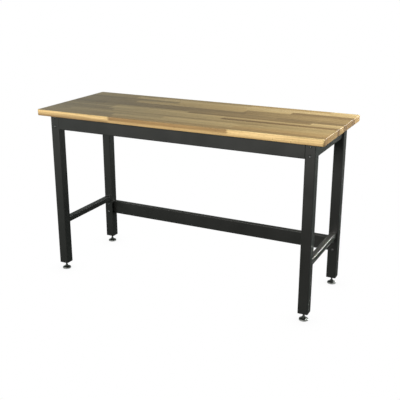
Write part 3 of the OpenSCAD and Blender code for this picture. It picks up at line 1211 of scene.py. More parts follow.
@dataclass(frozen=True)
class Worktop:
    """The glued slab, made of its strips from the back edge to the front."""

    seed: int = 11
    finger_pitch: float = 3.9 * MM
    finger_length: float = 10.0 * MM
    finger_tip: float = 0.7 * MM
    # How far the blanks reach past the slab
    margin: float = 2.0 * MM
    # Distance of a pith line from its stave, and a heartwood's radius that leaves no sapwood
    nearest_pith: float = 35.0 * MM
    farthest_pith: float = 110.0 * MM
    all_heart: float = 1000.0 * MM
    tone_jitter: float = 0.05
    last_seed: float = 40.0
    # Strips from the back edge to the front; the leftmost staves' tones are set a step darker,
    # partly their own wood and partly painted shade for the dimmer light at the left end
    strips: tuple[Strip, ...] = (
        Strip(48, (Stave(-330, Tone.TAN), Stave(190, Tone.AMBER, 0.1),
                   Stave(618, Tone.HONEY, 0.3), Stave(762, Tone.PALE))),
        Strip(50, (Stave(-480, Tone.RUSSET), Stave(190, Tone.STRAW), Stave(620, Tone.PALE),
                   Stave(762, Tone.STRAW))),
        Strip(50, (Stave(-520, Tone.UMBER), Stave(-192, Tone.BROWN), Stave(198, Tone.STRAW, 0.2),
                   Stave(443, Tone.STRAW), Stave(762, Tone.UMBER, 0.2))),
        Strip(52, (Stave(-422, Tone.BROWN), Stave(213, Tone.HONEY, 0.1),
                   Stave(762, Tone.BROWN, 0.1))),
        Strip(50, (Stave(-300, Tone.UMBER), Stave(238, Tone.BROWN), Stave(762, Tone.RUSSET, 0.1))),
        Strip(50, (Stave(-560, Tone.DARK), Stave(-60, Tone.UMBER), Stave(420, Tone.BROWN),
                   Stave(762, Tone.UMBER))),
        Strip(34, (Stave(-462, Tone.BROWN), Stave(-37, Tone.AMBER), Stave(608, Tone.UMBER, 0.2),
                   Stave(762, Tone.PALE))),
        Strip(33, (Stave(-462, Tone.TAN), Stave(178, Tone.STRAW), Stave(608, Tone.HONEY),
                   Stave(762, Tone.HONEY))),
        Strip(34, (Stave(-460, Tone.UMBER), Stave(178, Tone.HONEY), Stave(762, Tone.DARK, 0.5))),
        Strip(29, (Stave(-420, Tone.BROWN), Stave(120, Tone.HONEY), Stave(762, Tone.HONEY))),
        Strip(33, (Stave(-400, Tone.BROWN), Stave(440, Tone.TAN, 0.1), Stave(762, Tone.HONEY))),
        Strip(42, (Stave(-640, Tone.BROWN), Stave(-90, Tone.TAN), Stave(430, Tone.HONEY),
                   Stave(762, Tone.AMBER, 0.1))),
        Strip(45, (Stave(-350, Tone.BROWN), Stave(300, Tone.HONEY),
                   Stave(762, Tone.TAN, 0.5))),
        Strip(50, (Stave(-330, Tone.BROWN, 0.3, pith=(-175, 850), heart=128.5, sap=0.95),
                   Stave(308, Tone.TAN, 0.4, pith=(-262, 940), heart=71, sap=0.35),
                   Stave(762, Tone.RUSSET, 0.5, pith=(-175, 840), heart=129.6, sap=1.0))),
    )

    # Points of the plain slab that are nearer to each other than this are one
    SAME_POINT = 1e-6

    def build(self, finishes: Finishes) -> None:
        """Builds the slab in place of the plain one.

        Args:
            finishes: the bench's materials.
        """
        cutter = self.welded_copy(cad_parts["wood_top"])
        blanks = self.blanks(Span.of("wood_top"))
        # Neighbours go into different meshes, so that no two staves of one mesh touch
        groups: defaultdict[tuple[int, int], MeshMaker] = defaultdict(MeshMaker)
        for blank in blanks:
            self.add_stave(groups[blank.row % 2, blank.column % 2], blank)
        whole = bmesh.new()
        for maker in groups.values():
            self.trim(maker.finish("stave_blanks"), cutter, whole)
        bpy.data.objects.remove(cutter)
        data = bpy.data.meshes.new("butcher_block")
        whole.to_mesh(data)
        whole.free()
        self.mark_staves(data, blanks)
        piece = show(data, "butcher_block")
        settle(piece, "frame", finishes.by_slot["butcher_block"], ["wood_top"])

    @classmethod
    def welded_copy(cls, node: bpy.types.Object) -> bpy.types.Object:
        """Copies a node of the frame, with the points of its hard edges joined.

        Args:
            node: the node.

        Returns:
            The copy.
        """
        mesh = bmesh.new()
        mesh.from_mesh(node.data)
        bmesh.ops.remove_doubles(mesh, verts=mesh.verts, dist=cls.SAME_POINT)
        data = bpy.data.meshes.new("slab_outline")
        mesh.to_mesh(data)
        mesh.free()
        made = bpy.data.objects.new("slab_outline", data)
        bpy.context.scene.collection.objects.link(made)
        return made

    def blanks(self, slab: Span) -> list[Blank]:
        """Lays out the staves before their ends are cut.

        Args:
            slab: the box of the whole slab.

        Returns:
            The blanks. Outer ones reach a margin past the slab.
        """
        blanks = []
        back = slab.high.y
        for row, strip in enumerate(self.strips):
            front = back - strip.width * MM
            lowest = front - self.margin if row == len(self.strips) - 1 else front
            highest = back + self.margin if row == 0 else back
            left = slab.low.x - self.margin
            for column, stave in enumerate(strip.staves):
                last = column == len(strip.staves) - 1
                right = slab.high.x + self.margin if last else stave.end * MM
                low = Vector((left, lowest, slab.low.z - self.margin))
                high = Vector((right, highest, slab.high.z + self.margin))
                blanks.append(Blank(row, column, low, high, stave))
                left = right
            back = front
        return blanks

    def fingers(self, x: float, low: float, high: float) -> list[tuple[float, float]]:
        """Zigzag of a finger joint, seen from the front.

        Args:
            x: the middle of the joint.
            low: where the zigzag starts.
            high: where it ends.

        Returns:
            Pairs of X and Z, from the bottom up.
        """
        points = [(x - self.finger_length / 2, low)]
        count = round((high - low) / self.finger_pitch)
        pitch = (high - low) / count
        for i in range(count):
            base = low + i * pitch
            points += [
                (x - self.finger_length / 2, base + self.finger_tip),
                (x + self.finger_length / 2, base + pitch / 2),
                (x + self.finger_length / 2, base + pitch / 2 + self.finger_tip),
                (x - self.finger_length / 2, base + pitch),
            ]
        return points

    def add_stave(self, maker: MeshMaker, blank: Blank) -> None:
        """Adds one stave, with fingers at each end that meets another stave.

        Args:
            maker: the mesh that it joins.
            blank: the stave's blank.
        """
        slab, low, high = Span.of("wood_top"), blank.low, blank.high
        ends = []
        for x in (low.x, high.x):
            outer = x < slab.low.x or x > slab.high.x
            ends.append([(x, low.z), (x, high.z)] if outer else self.fingers(x, low.z, high.z))
        outline = ends[0][::-1] + ends[1]
        maker.loft([[Vector((x, y, z)) for x, z in outline] for y in (low.y, high.y)])

    @staticmethod
    def trim(group: bpy.types.Object, cutter: bpy.types.Object, whole: bmesh.types.BMesh) -> None:
        """Keeps what of some staves lies in the slab, and adds it to the whole.

        Args:
            group: staves that don't touch one another.
            cutter: the slab's true outline.
            whole: the mesh that grows.
        """
        group.modifiers.clear()
        cut = group.modifiers.new("slab", "BOOLEAN")
        cut.operation = "INTERSECT"
        cut.solver = "EXACT"
        cut.object = cutter
        depsgraph = bpy.context.evaluated_depsgraph_get()
        trimmed = bpy.data.meshes.new_from_object(group.evaluated_get(depsgraph))
        whole.from_mesh(trimmed)
        bpy.data.meshes.remove(trimmed)
        bpy.data.objects.remove(group)

    def mark_staves(self, data: bpy.types.Mesh, blanks: list[Blank]) -> None:
        """Writes each stave's looks on its own points, for the wood's shader.

        Args:
            data: the mesh of all staves.
            blanks: the staves' blanks.
        """
        chance = random.Random(self.seed)
        looks = [self.look_of(blank, chance) for blank in blanks]
        owner = self.owners(data, blanks)
        for name, first in looks[0].items():
            values = [looks[i][name] for i in owner]
            if isinstance(first, tuple):
                attribute = data.attributes.new(name, "FLOAT_VECTOR", "POINT")
                attribute.data.foreach_set("vector", [c for vector in values for c in vector])
            else:
                attribute = data.attributes.new(name, "FLOAT", "POINT")
                attribute.data.foreach_set("value", values)

    def owners(self, data: bpy.types.Mesh, blanks: list[Blank]) -> list[int]:
        """Finds the stave that each point belongs to.

        Args:
            data: the mesh of all staves.
            blanks: the staves' blanks.

        Returns:
            For each point the number of its blank.
        """
        mesh = bmesh.new()
        mesh.from_mesh(data)
        mesh.verts.ensure_lookup_table()
        owner = [0] * len(mesh.verts)
        unseen = set(mesh.verts)
        while unseen:
            points = self.island(unseen.pop(), unseen)
            x = self.halfway([v.co.x for v in points])
            y = self.halfway([v.co.y for v in points])
            nearest = min(range(len(blanks)), key=lambda i: blanks[i].distance(x, y))
            for vertex in points:
                owner[vertex.index] = nearest
        mesh.free()
        return owner

    @staticmethod
    def halfway(values: list[float]) -> float:
        """Middle between the lowest and the highest value."""
        return (min(values) + max(values)) / 2

    @staticmethod
    def island(start: bmesh.types.BMVert, unseen: set[bmesh.types.BMVert]
               ) -> list[bmesh.types.BMVert]:
        """Collects the points that are joined to one point.

        Args:
            start: the point.
            unseen: points that may be collected, which leave it when they are.

        Returns:
            The points, with the first one.
        """
        found, queue = [start], [start]
        while queue:
            for edge in queue.pop().link_edges:
                for vertex in edge.verts:
                    if vertex in unseen:
                        unseen.remove(vertex)
                        found.append(vertex)
                        queue.append(vertex)
        return found

    def look_of(self, blank: Blank, chance: random.Random) -> dict[str, float | Point]:
        """Chooses a stave's values for the shader.

        Args:
            blank: the stave's blank.
            chance: the seeded source of what the layout leaves open.

        Returns:
            The value of each attribute.
        """
        stave, middle = blank.stave, blank.middle
        bearing = chance.uniform(0, FULL_TURN)
        reach = chance.uniform(self.nearest_pith, self.farthest_pith)
        pith = (0.0, middle.y + reach * math.cos(bearing), middle.z + reach * math.sin(bearing))
        jitter = chance.uniform(-self.tone_jitter, self.tone_jitter)
        seed = chance.uniform(0, self.last_seed)
        if stave.pith:
            pith = (0.0, stave.pith[0] * MM, stave.pith[1] * MM)
        return {
            "tone": stave.tone.value + jitter,
            "warmth": stave.warmth,
            "seed": seed,
            "heart": stave.heart * MM if stave.heart else self.all_heart,
            "sap": stave.sap,
            "pith": pith,
            "sides": (blank.low.y, blank.high.y, 0.0),
        }


# Steel frame

@dataclass(frozen=True)
class SteelFrame:
    """The painted legs, channels and tubes, with the weld beads that join them."""

    tube_bead: float = 1.9 * MM
    rail_bead: float = 1.7 * MM
    tongue_bead: float = 1.4 * MM
    # How far a bead's middle lies outside the plain shape, as a share of its radius
    bead_out: float = 0.45
    # How far a bead cuts the corners, and how far it stays away from a tongue's ends
    corner: float = 2.0 * MM
    tongue_margin: float = 2.0 * MM

    def build(self, finishes: Finishes) -> None:
        """Paints the frame's own nodes and adds the beads.

        Args:
            finishes: the bench's materials.
        """
        self.dress(finishes)
        paint = finishes.by_slot["black_paint"]
        for side in SIDES:
            maker = MeshMaker()
            self.weld_tube(maker, side)
            self.weld_rail(maker, side)
            settle(maker.finish(f"end_frame_welds_{side}"), "frame", paint)
        maker = MeshMaker()
        for place in (*CORNERS, *(f"stretcher_{side}" for side in SIDES)):
            self.weld_tongue(maker, place)
        settle(maker.finish("tongue_welds"), "frame", paint)

    @staticmethod
    def dress(finishes: Finishes) -> None:
        """Gives every node of the frame the finish of its slot.

        Args:
            finishes: the bench's materials.
        """
        for name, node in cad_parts.items():
            slot = node.data.materials[0].name.split(".")[0]
            node.data.materials[0] = finishes.by_slot[slot]
            LOG.info("%s: %s", name, slot)

    def weld_tube(self, maker: MeshMaker, side: str) -> None:
        """Runs a bead round each end of a low side tube, on the legs' inner faces.

        Args:
            maker: the mesh that the beads join.
            side: left or right.
        """
        tube = Span.of(f"side_stretcher_{side}")
        out = self.tube_bead * self.bead_out
        left, right = tube.low.x - out, tube.high.x + out
        low, high = tube.low.z - out, tube.high.z + out
        cut = self.corner
        outline = [(left + cut, low), (right - cut, low), (right, low + cut),
                   (right, high - cut), (right - cut, high), (left + cut, high),
                   (left, high - cut), (left, low + cut), (left + cut, low)]
        for end in (tube.low.y + out, tube.high.y - out):
            maker.bead([Vector((x, end, z)) for x, z in outline], self.tube_bead)

    def weld_rail(self, maker: MeshMaker, side: str) -> None:
        """Runs a bead down each end of a side rail's web and along its lower flange.

        Args:
            maker: the mesh that the beads join.
            side: left or right.
        """
        rail = Span.of(f"side_rail_{side}")
        out = self.rail_bead * self.bead_out
        sign = 1 if side == "right" else -1
        web = (rail.high.x if sign > 0 else rail.low.x) + sign * out
        flange = (rail.low.x if sign > 0 else rail.high.x) + sign * self.corner
        top, bottom = rail.high.z - self.corner, rail.low.z - out
        for end in (rail.low.y + out, rail.high.y - out):
            maker.bead([Vector((web, end, top)), Vector((web, end, bottom + self.corner)),
                        Vector((web - sign * self.corner, end, bottom)),
                        Vector((flange, end, bottom))], self.rail_bead)

    def weld_tongue(self, maker: MeshMaker, place: str) -> None:
        """Runs a bead along the upper and lower edge of a tongue, on the channel's web.

        Args:
            maker: the mesh that the beads join.
            place: the end of the tongue's name.
        """
        tongue = Span.of(f"tongue_{place}")
        channels = {"front": "front_apron", "rear": "rear_apron", "stretcher": "back_stretcher"}
        channel = Span.of(channels[place.split("_")[0]])
        sign = 1 if place.endswith("right") else -1
        end = (channel.high.x if sign > 0 else channel.low.x) - sign * self.tongue_margin
        start = (tongue.low.x if sign > 0 else tongue.high.x) + sign * self.tongue_margin
        out = self.tongue_bead * self.bead_out
        behind = tongue.high.y - out if place.startswith("rear") else tongue.low.y + out
        for z in (tongue.low.z - out, tongue.high.z + out):
            maker.bead([Vector((start, behind, z)), Vector((end, behind, z))], self.tongue_bead)


# Fasteners

def facing(point: Vector, way_in: Vector) -> Matrix:
    """Puts a fastener's underside of the head at a point, and its own +Z along its way in."""
    return Matrix.Translation(point) @ way_in.to_track_quat("Z", "Y").to_matrix().to_4x4()


@dataclass(frozen=True)
class ButtonBolt:
    """Button-head bolt with a hexagon socket and a rolled thread."""

    shank: float = 8 * MM
    length: float = 16 * MM
    # The head, its upright rim, and the broken edge under it
    head: float = 14 * MM
    height: float = 4.4 * MM
    rim: float = 0.7 * MM
    rim_break: float = 0.15 * MM
    # The socket's width across flats and depth, the drill's point and the chamfered mouth
    socket: float = 5 * MM
    depth: float = 2.6 * MM
    drill_point: float = 0.7 * MM
    mouth_width: float = 0.35 * MM
    mouth_fall: float = 0.3 * MM
    # The plain neck, the chamfered tip and the thread between them
    neck: float = 0.5 * MM
    tip: float = 0.8 * MM
    tip_inset: float = 0.5 * MM
    pitch: float = 1.25 * MM
    dome_steps: int = 9
    count: int = 36

    def dome(self, radius: float) -> float:
        """Gives the place of the head's domed face along the bolt.

        Args:
            radius: distance from the axis.

        Returns:
            The place: 0 at the head's underside, and below 0 outside it.
        """
        rise = self.height - self.rim
        curve = ((self.head / 2) ** 2 + rise ** 2) / (2 * rise)
        return -self.height + curve - math.sqrt(curve ** 2 - radius ** 2)

    def add(self, maker: MeshMaker, place: Matrix) -> None:
        """Adds one bolt.

        Args:
            maker: the mesh that it joins.
            place: where its head's underside goes.
        """
        socket = Hexagon(self.socket).radius
        floor = self.depth - self.height
        mouth = socket(0.0) + self.mouth_width
        edge, shank = self.head / 2, self.shank / 2
        root = shank - THREAD_DEPTH * self.pitch
        end = self.length - self.tip
        reaches = [mouth + (edge - mouth) * math.sin(FULL_TURN / 4 * i / self.dome_steps)
                   for i in range(self.dome_steps + 1)]
        maker.lathe([
            (0.0, floor + self.drill_point), (socket, floor),
            (socket, self.dome(mouth) + self.mouth_fall),
            *((reach, self.dome(reach)) for reach in reaches),
            (edge, -self.rim_break), (edge - self.rim_break, 0.0), (shank, 0.0),
            (root, self.neck),
        ], self.count, place)
        maker.thread(self.neck, end, self.pitch, shank, root, self.count, place)
        maker.lathe([(root, end), (root - self.tip_inset, self.length), (0.0, self.length)],
                    self.count, place)


@dataclass(frozen=True)
class Nut:
    """Hexagon nut with both faces chamfered and a countersunk bore."""

    across: float
    height: float
    bore: float
    countersink: float = 0.6 * MM
    count: int = 48

    def add(self, maker: MeshMaker, place: Matrix) -> None:
        """Adds one nut.

        Args:
            maker: the mesh that it joins.
            place: where its lower face goes.
        """
        bore = self.bore / 2
        mouth = bore + self.countersink
        maker.lathe([
            *Hexagon(self.across).section(0.0, self.height),
            (mouth, self.height), (bore, self.height - self.countersink),
            (bore, self.countersink), (mouth, 0.0),
        ], self.count, place, closed=True)


@dataclass(frozen=True)
class PanScrew:
    """Pan-head wood screw with a cross recess, a coarse thread and a point."""

    shank: float = 5 * MM
    length: float = 25 * MM
    # The pan head with its round shoulder
    head: float = 10 * MM
    height: float = 3 * MM
    shoulder: float = 1.6 * MM
    shoulder_steps: int = 7
    rim_break: float = 0.2 * MM
    # The cross recess, from its point to the flat round its mouth
    recess_point: float = 2.1 * MM
    recess_floor: CrossCut = CrossCut(0.9 * MM, 0.35 * MM, 1.9 * MM)
    recess_mouth: CrossCut = CrossCut(2.3 * MM, 0.62 * MM, 0.12 * MM)
    recess_rim: float = 2.7 * MM
    # The plain neck, the thread and the point
    neck: float = 1.6 * MM
    neck_taper: float = 0.1 * MM
    thread_start: float = 2.2 * MM
    thread_depth: float = 0.75 * MM
    point: float = 3.4 * MM
    point_tip: float = 0.8 * MM
    point_share: float = 0.4
    pitch: float = 2.2 * MM
    count: int = 48

    def add(self, maker: MeshMaker, place: Matrix) -> None:
        """Adds one screw.

        Args:
            maker: the mesh that it joins.
            place: where its head's underside goes.
        """
        top, edge, shank = -self.height, self.head / 2, self.shank / 2
        root = shank - self.thread_depth
        end = self.length - self.point
        maker.lathe([
            (0.0, top + self.recess_point),
            *((cut.radius, top + cut.depth) for cut in (self.recess_floor, self.recess_mouth)),
            (self.recess_rim, top),
            *arc((edge - self.shoulder, top + self.shoulder), self.shoulder, -90, 0,
                 self.shoulder_steps),
            (edge, -self.rim_break), (edge - self.rim_break, 0.0), (shank, 0.0),
            (shank - self.neck_taper, self.neck), (root, self.thread_start),
        ], self.count, place)
        maker.thread(self.thread_start, end, self.pitch, shank, root, self.count, place)
        maker.lathe([(root, end), (self.point_share * root, self.length - self.point_tip),
                     (0.0, self.length)], self.count, place)


@dataclass(frozen=True)
class Fasteners:
    """All bolts, nuts and screws of the frame, in place of their plain nodes."""

    bolt: ButtonBolt = ButtonBolt()
    screw: PanScrew = PanScrew()
    screws_per_apron: int = 4
    screws_per_rail: int = 2
    # Distance of the screws from a channel's outer face, and thickness of its sheet
    screw_line: float = 14 * MM
    sheet: float = 2 * MM
    weld_nut_height: float = 6.5 * MM
    weld_nut_bore: float = 8.1 * MM
    foot_nut_bore: float = 10.1 * MM

    # The groups of bolts, with 1 where they go in towards the back and -1 towards the front
    BOLTS = {"front_apron_bolts": 1, "rear_apron_bolts": -1, "stretcher_bolts": 1}

    def build(self, finishes: Finishes) -> None:
        """Builds every group of fasteners.

        Args:
            finishes: the bench's materials.
        """
        for node, way in self.BOLTS.items():
            maker = MeshMaker()
            for point in self.bolt_places(node):
                self.bolt.add(maker, facing(point, Vector((0, way, 0))))
            settle(maker.finish(f"button_head_{node}"), "frame",
                   finishes.by_slot["black_zinc"], [node])
        steel = finishes.by_slot["plain_steel"]
        settle(self.weld_nuts(), "frame", steel, ["apron_weld_nuts"])
        settle(self.long_nuts(), "frame", steel, ["stretcher_long_nuts"])
        settle(self.foot_nuts(), "frame", steel, ["foot_nuts"])
        settle(self.top_screws(), "frame", steel, ["top_screws"])

    def bolt_places(self, node: str) -> list[Vector]:
        """Finds the underside of each bolt head in a group.

        Args:
            node: the group's node.

        Returns:
            The four points.
        """
        span = Span.of(node)
        edge, height = self.bolt.head / 2, self.bolt.height
        y = span.low.y + height if self.BOLTS[node] > 0 else span.high.y - height
        return [Vector((x, y, z)) for x in (span.low.x + edge, span.high.x - edge)
                for z in (span.low.z + edge, span.high.z - edge)]

    def nut_width(self, nuts: Span, bolts: str) -> float:
        """Width across flats of nuts whose box reaches past their bolts' axes by a corner."""
        axis = Span.of(bolts).high.x - self.bolt.head / 2
        return Hexagon.across_flats(nuts.high.x - axis)

    def weld_nuts(self) -> bpy.types.Object:
        """Builds the nuts behind the aprons' tongues.

        Returns:
            The piece.
        """
        maker = MeshMaker()
        span = Span.of("apron_weld_nuts")
        for bolts, y in (("front_apron_bolts", span.low.y), ("rear_apron_bolts", span.high.y)):
            nut = Nut(self.nut_width(span, bolts), self.weld_nut_height, self.weld_nut_bore)
            way = Vector((0, self.BOLTS[bolts], 0))
            for point in self.bolt_places(bolts):
                nut.add(maker, facing(Vector((point.x, y, point.z)), way))
        return maker.finish("tongue_weld_nuts")

    def long_nuts(self) -> bpy.types.Object:
        """Builds the long nuts between the rear legs' walls and the stretcher's tongues.

        Returns:
            The piece.
        """
        maker = MeshMaker()
        span, bolts = Span.of("stretcher_long_nuts"), "stretcher_bolts"
        nut = Nut(self.nut_width(span, bolts), span.size.y, self.weld_nut_bore)
        for point in self.bolt_places(bolts):
            nut.add(maker, facing(Vector((point.x, span.low.y, point.z)), Vector((0, 1, 0))))
        return maker.finish("long_coupling_nuts")

    def foot_nuts(self) -> bpy.types.Object:
        """Builds the nuts on the plates in the legs' lower ends.

        Returns:
            The piece.
        """
        maker = MeshMaker()
        span = Span.of("foot_nuts")
        leg = Span.of("leg_front_right").centre
        nut = Nut(Hexagon.across_flats(span.high.x - leg.x), span.size.z, self.foot_nut_bore)
        for x in (-leg.x, leg.x):
            for y in (leg.y, -leg.y):
                nut.add(maker, Matrix.Translation((x, y, span.low.z)))
        return maker.finish("stem_nuts")

    def top_screws(self) -> bpy.types.Object:
        """Builds the screws that hold the wood, up through the channels' flanges.

        Returns:
            The piece.
        """
        maker = MeshMaker()
        apron, rail = Span.of("front_apron"), Span.of("side_rail_right")
        z = Span.of("wood_top").low.z - self.sheet
        y = apron.low.y + self.screw_line
        x = rail.high.x - self.screw_line
        spots = []
        for along in self.spread(self.screws_per_apron, apron.size.x):
            spots += [(along, y), (-along, -y)]
        for along in self.spread(self.screws_per_rail, rail.size.y):
            spots += [(x, along), (-x, -along)]
        for spot in spots:
            self.screw.add(maker, Matrix.Translation((*spot, z)))
        return maker.finish("cross_head_wood_screws")

    @staticmethod
    def spread(count: int, length: float) -> list[float]:
        """Spreads places evenly over a length, with half a step left at each end."""
        return [length * ((i + 0.5) / count - 0.5) for i in range(count)]


# Levelling feet

@dataclass(frozen=True)
class LevellingFoot:
    """One foot: a threaded stem that turns in a pressed pad on a plastic sole."""

    corner: str
    # The stem: its thread, tip and neck, then its rivet and its hexagon
    pitch: float = 1.5 * MM
    stem_radius: float = 5.0 * MM
    stem_tip: float = 1.0 * MM
    tip_inset: float = 0.8 * MM
    neck_inset: float = 0.1 * MM
    neck: float = 1.0 * MM
    rivet_radius: float = 8.0 * MM
    rivet_height: float = 2.4 * MM
    rivet_inset: float = 1.0 * MM
    rivet_chamfer: float = 0.7 * MM
    hexagon: Hexagon = Hexagon(14.0 * MM, 0.96)
    hexagon_height: float = 7.0 * MM
    swivel_gap: float = 0.15 * MM
    # The pad: its sheet, side and crown
    wall: float = 2.0 * MM
    rim_height: float = 8.0 * MM
    crown_radius: float = 10.5 * MM
    # Distances of the soft corner's points from the crown's edge, and how low they lie
    corner_flat: float = 1.2 * MM
    corner_soft: float = 0.4 * MM
    corner_cone: float = 0.5 * MM
    corner_drop: float = 0.05 * MM
    # The bend from cone to side, and the angles in degrees that its outside and inside turn
    edge_radius: float = 2.5 * MM
    edge_angle: float = 78.0
    inner_angle: float = 70.0
    # The cone's inner side, from and to these distances from the axis
    hollow_start: float = 10.0 * MM
    hollow_end: float = 15.6 * MM
    bore_gap: float = 0.1 * MM
    bore_break: float = 0.3 * MM
    dimple_radius: float = 14.6 * MM
    dimple_depth: float = 0.45 * MM
    # The sole's grooves, and their floor's width as a share of their mouth's
    groove_depth: float = 0.9 * MM
    groove_half_width: float = 0.81 * MM
    groove_floor: float = 0.6
    grooves: int = 3
    # Place of the inmost groove, in steps from one groove to the next
    first_groove: float = 0.75
    sole_round: float = 0.6 * MM
    sole_break: float = 0.4 * MM
    count: int = 96
    stem_count: int = 48

    # The pad's bends stay smooth up to this angle, in degrees
    PAD_HARD_EDGE = 50.0
    # The round dimple in the cone: distance from its middle line and share of its depth
    DIMPLE = ((-1.5 * MM, 0.0), (-0.7 * MM, 0.6), (0.0, 1.0), (0.7 * MM, 0.6), (1.5 * MM, 0.0))

    def build(self, finishes: Finishes) -> None:
        """Builds the foot's three pieces on their own bodies.

        Args:
            finishes: the bench's materials.
        """
        foot, stem = f"foot_{self.corner}", f"stem_{self.corner}"
        bright = finishes.by_slot["bright_zinc"]
        self.place(self.pad(), foot, "bright_zinc", bright, f"foot_pad_{self.corner}")
        self.place(self.sole(), foot, "black_plastic", finishes.by_slot["black_plastic"],
                   f"foot_sole_{self.corner}")
        self.place(self.stem(), stem, "bright_zinc", bright, f"foot_stem_{self.corner}")

    @staticmethod
    def place(piece: bpy.types.Object, body: str, slot: str, material: bpy.types.Material,
              node: str) -> None:
        """Moves a piece under its leg and settles it there.

        Args:
            piece: the piece, built round the Z axis.
            body: the body that carries it.
            slot: the record's material slot; not used.
            material: its finish.
            node: the node that it stands for.
        """
        middle = Span.of(node).centre
        piece.location = (middle.x, middle.y, 0.0)
        settle(piece, body, material, [node])

    def pad(self) -> bpy.types.Object:
        """Builds the pressed cup, with a rolled lip and a round dimple in its cone.

        Returns:
            The piece.
        """
        span = Span.of(f"foot_pad_{self.corner}")
        outer, lift, crown = span.size.x / 2, span.low.z, span.high.z
        inner, bend, lip = outer - self.wall, self.edge_radius / 2, self.wall / 2
        bore = self.stem_radius + self.bore_gap
        slope = (crown - self.rim_height) / (outer - self.edge_radius - self.crown_radius)

        def cone(r: float, drop: float) -> tuple[float, float]:
            """The point at a distance from the axis, and at a drop under the cone's upper side."""
            return r, crown - (r - self.crown_radius) * slope - drop

        section = [
            (bore + self.bore_break, crown), (self.crown_radius - self.corner_flat, crown),
            (self.crown_radius - self.corner_soft, crown - self.corner_drop),
            cone(self.crown_radius + self.corner_cone, self.corner_drop),
            *(cone(self.dimple_radius + away, share * self.dimple_depth)
              for away, share in self.DIMPLE),
            *arc((outer - self.edge_radius, self.rim_height - self.edge_radius), self.edge_radius,
                 self.edge_angle, 0, steps=9),
            *arc((outer - lip, lift + lip), lip, 0, -180, steps=8),
            *arc((inner - bend, self.rim_height - self.wall - bend), bend, 0, self.inner_angle,
                 steps=5),
            cone(self.hollow_end, self.wall), cone(self.hollow_start, self.wall),
            (bore, crown - self.wall), (bore, crown - self.bore_break),
        ]
        maker = MeshMaker()
        maker.lathe(section, self.count, closed=True)
        return maker.finish(f"pressed_pad_{self.corner}", self.PAD_HARD_EDGE)

    def sole(self) -> bpy.types.Object:
        """Builds the plastic sole with round grooves in its underside.

        Returns:
            The piece.
        """
        span = Span.of(f"foot_sole_{self.corner}")
        outer, top = span.size.x / 2, span.high.z
        half, floor = self.groove_half_width, self.groove_half_width * self.groove_floor
        step = outer / (self.grooves + 0.5)
        section = [(0.0, 0.0)]
        for i in range(self.grooves):
            middle = (i + self.first_groove) * step
            section += [(middle - half, 0.0), (middle - floor, self.groove_depth),
                        (middle + floor, self.groove_depth), (middle + half, 0.0)]
        section += arc((outer - self.sole_round, self.sole_round), self.sole_round, -90, 0,
                       steps=4)
        section += arc((outer - self.sole_break, top - self.sole_break), self.sole_break, 0, 90,
                       steps=3)
        section.append((0.0, top))
        maker = MeshMaker()
        maker.lathe(section, self.count)
        return maker.finish(f"grooved_sole_{self.corner}")

    def stem(self) -> bpy.types.Object:
        """Builds the stem: rivet, plain neck, chamfered hexagon and rolled thread.

        Returns:
            The piece.
        """
        stem = Span.of(f"foot_stem_{self.corner}")
        bottom, top = stem.low.z, stem.high.z
        rivet_top = bottom + self.rivet_height
        low = Span.of(f"foot_pad_{self.corner}").high.z + self.swivel_gap
        high = low + self.hexagon_height
        start, end = high + self.neck, top - self.stem_tip
        root = self.stem_radius - THREAD_DEPTH * self.pitch
        maker = MeshMaker()
        maker.lathe([
            (0.0, bottom), (self.rivet_radius - self.rivet_inset, bottom),
            (self.rivet_radius, bottom + self.rivet_chamfer),
            (self.rivet_radius, rivet_top), (self.stem_radius, rivet_top), (self.stem_radius, low),
            *self.hexagon.section(low, high),
            (self.stem_radius - self.neck_inset, high), (root, start),
        ], self.stem_count)
        maker.thread(start, end, self.pitch, self.stem_radius, root, self.stem_count)
        maker.lathe([(root, end), (root - self.tip_inset, top), (0.0, top)], self.stem_count)
        return maker.finish(f"threaded_stem_{self.corner}")


# Studio

@dataclass(frozen=True)
class SoftBox:
    """A rectangular lamp that faces a point, with its power in watts and spread in degrees."""

    name: str
    place: Point
    target: Point
    width: float
    height: float
    power: float
    colour: Colour = (1.0, 1.0, 1.0)
    spread: float = 180.0

    def build(self) -> None:
        """Puts the lamp in the scene, unseen by the camera itself."""
        lamp = bpy.data.lights.new(self.name, "AREA")
        lamp.shape = "RECTANGLE"
        lamp.size, lamp.size_y = self.width, self.height
        lamp.energy, lamp.color = self.power, self.colour
        lamp.spread = math.radians(self.spread)
        made = bpy.data.objects.new(self.name, lamp)
        made.location = self.place
        aim = Vector(self.target) - Vector(self.place)
        made.rotation_euler = aim.to_track_quat("-Z", "Y").to_euler()
        made.visible_camera = False
        bpy.context.scene.collection.objects.link(made)


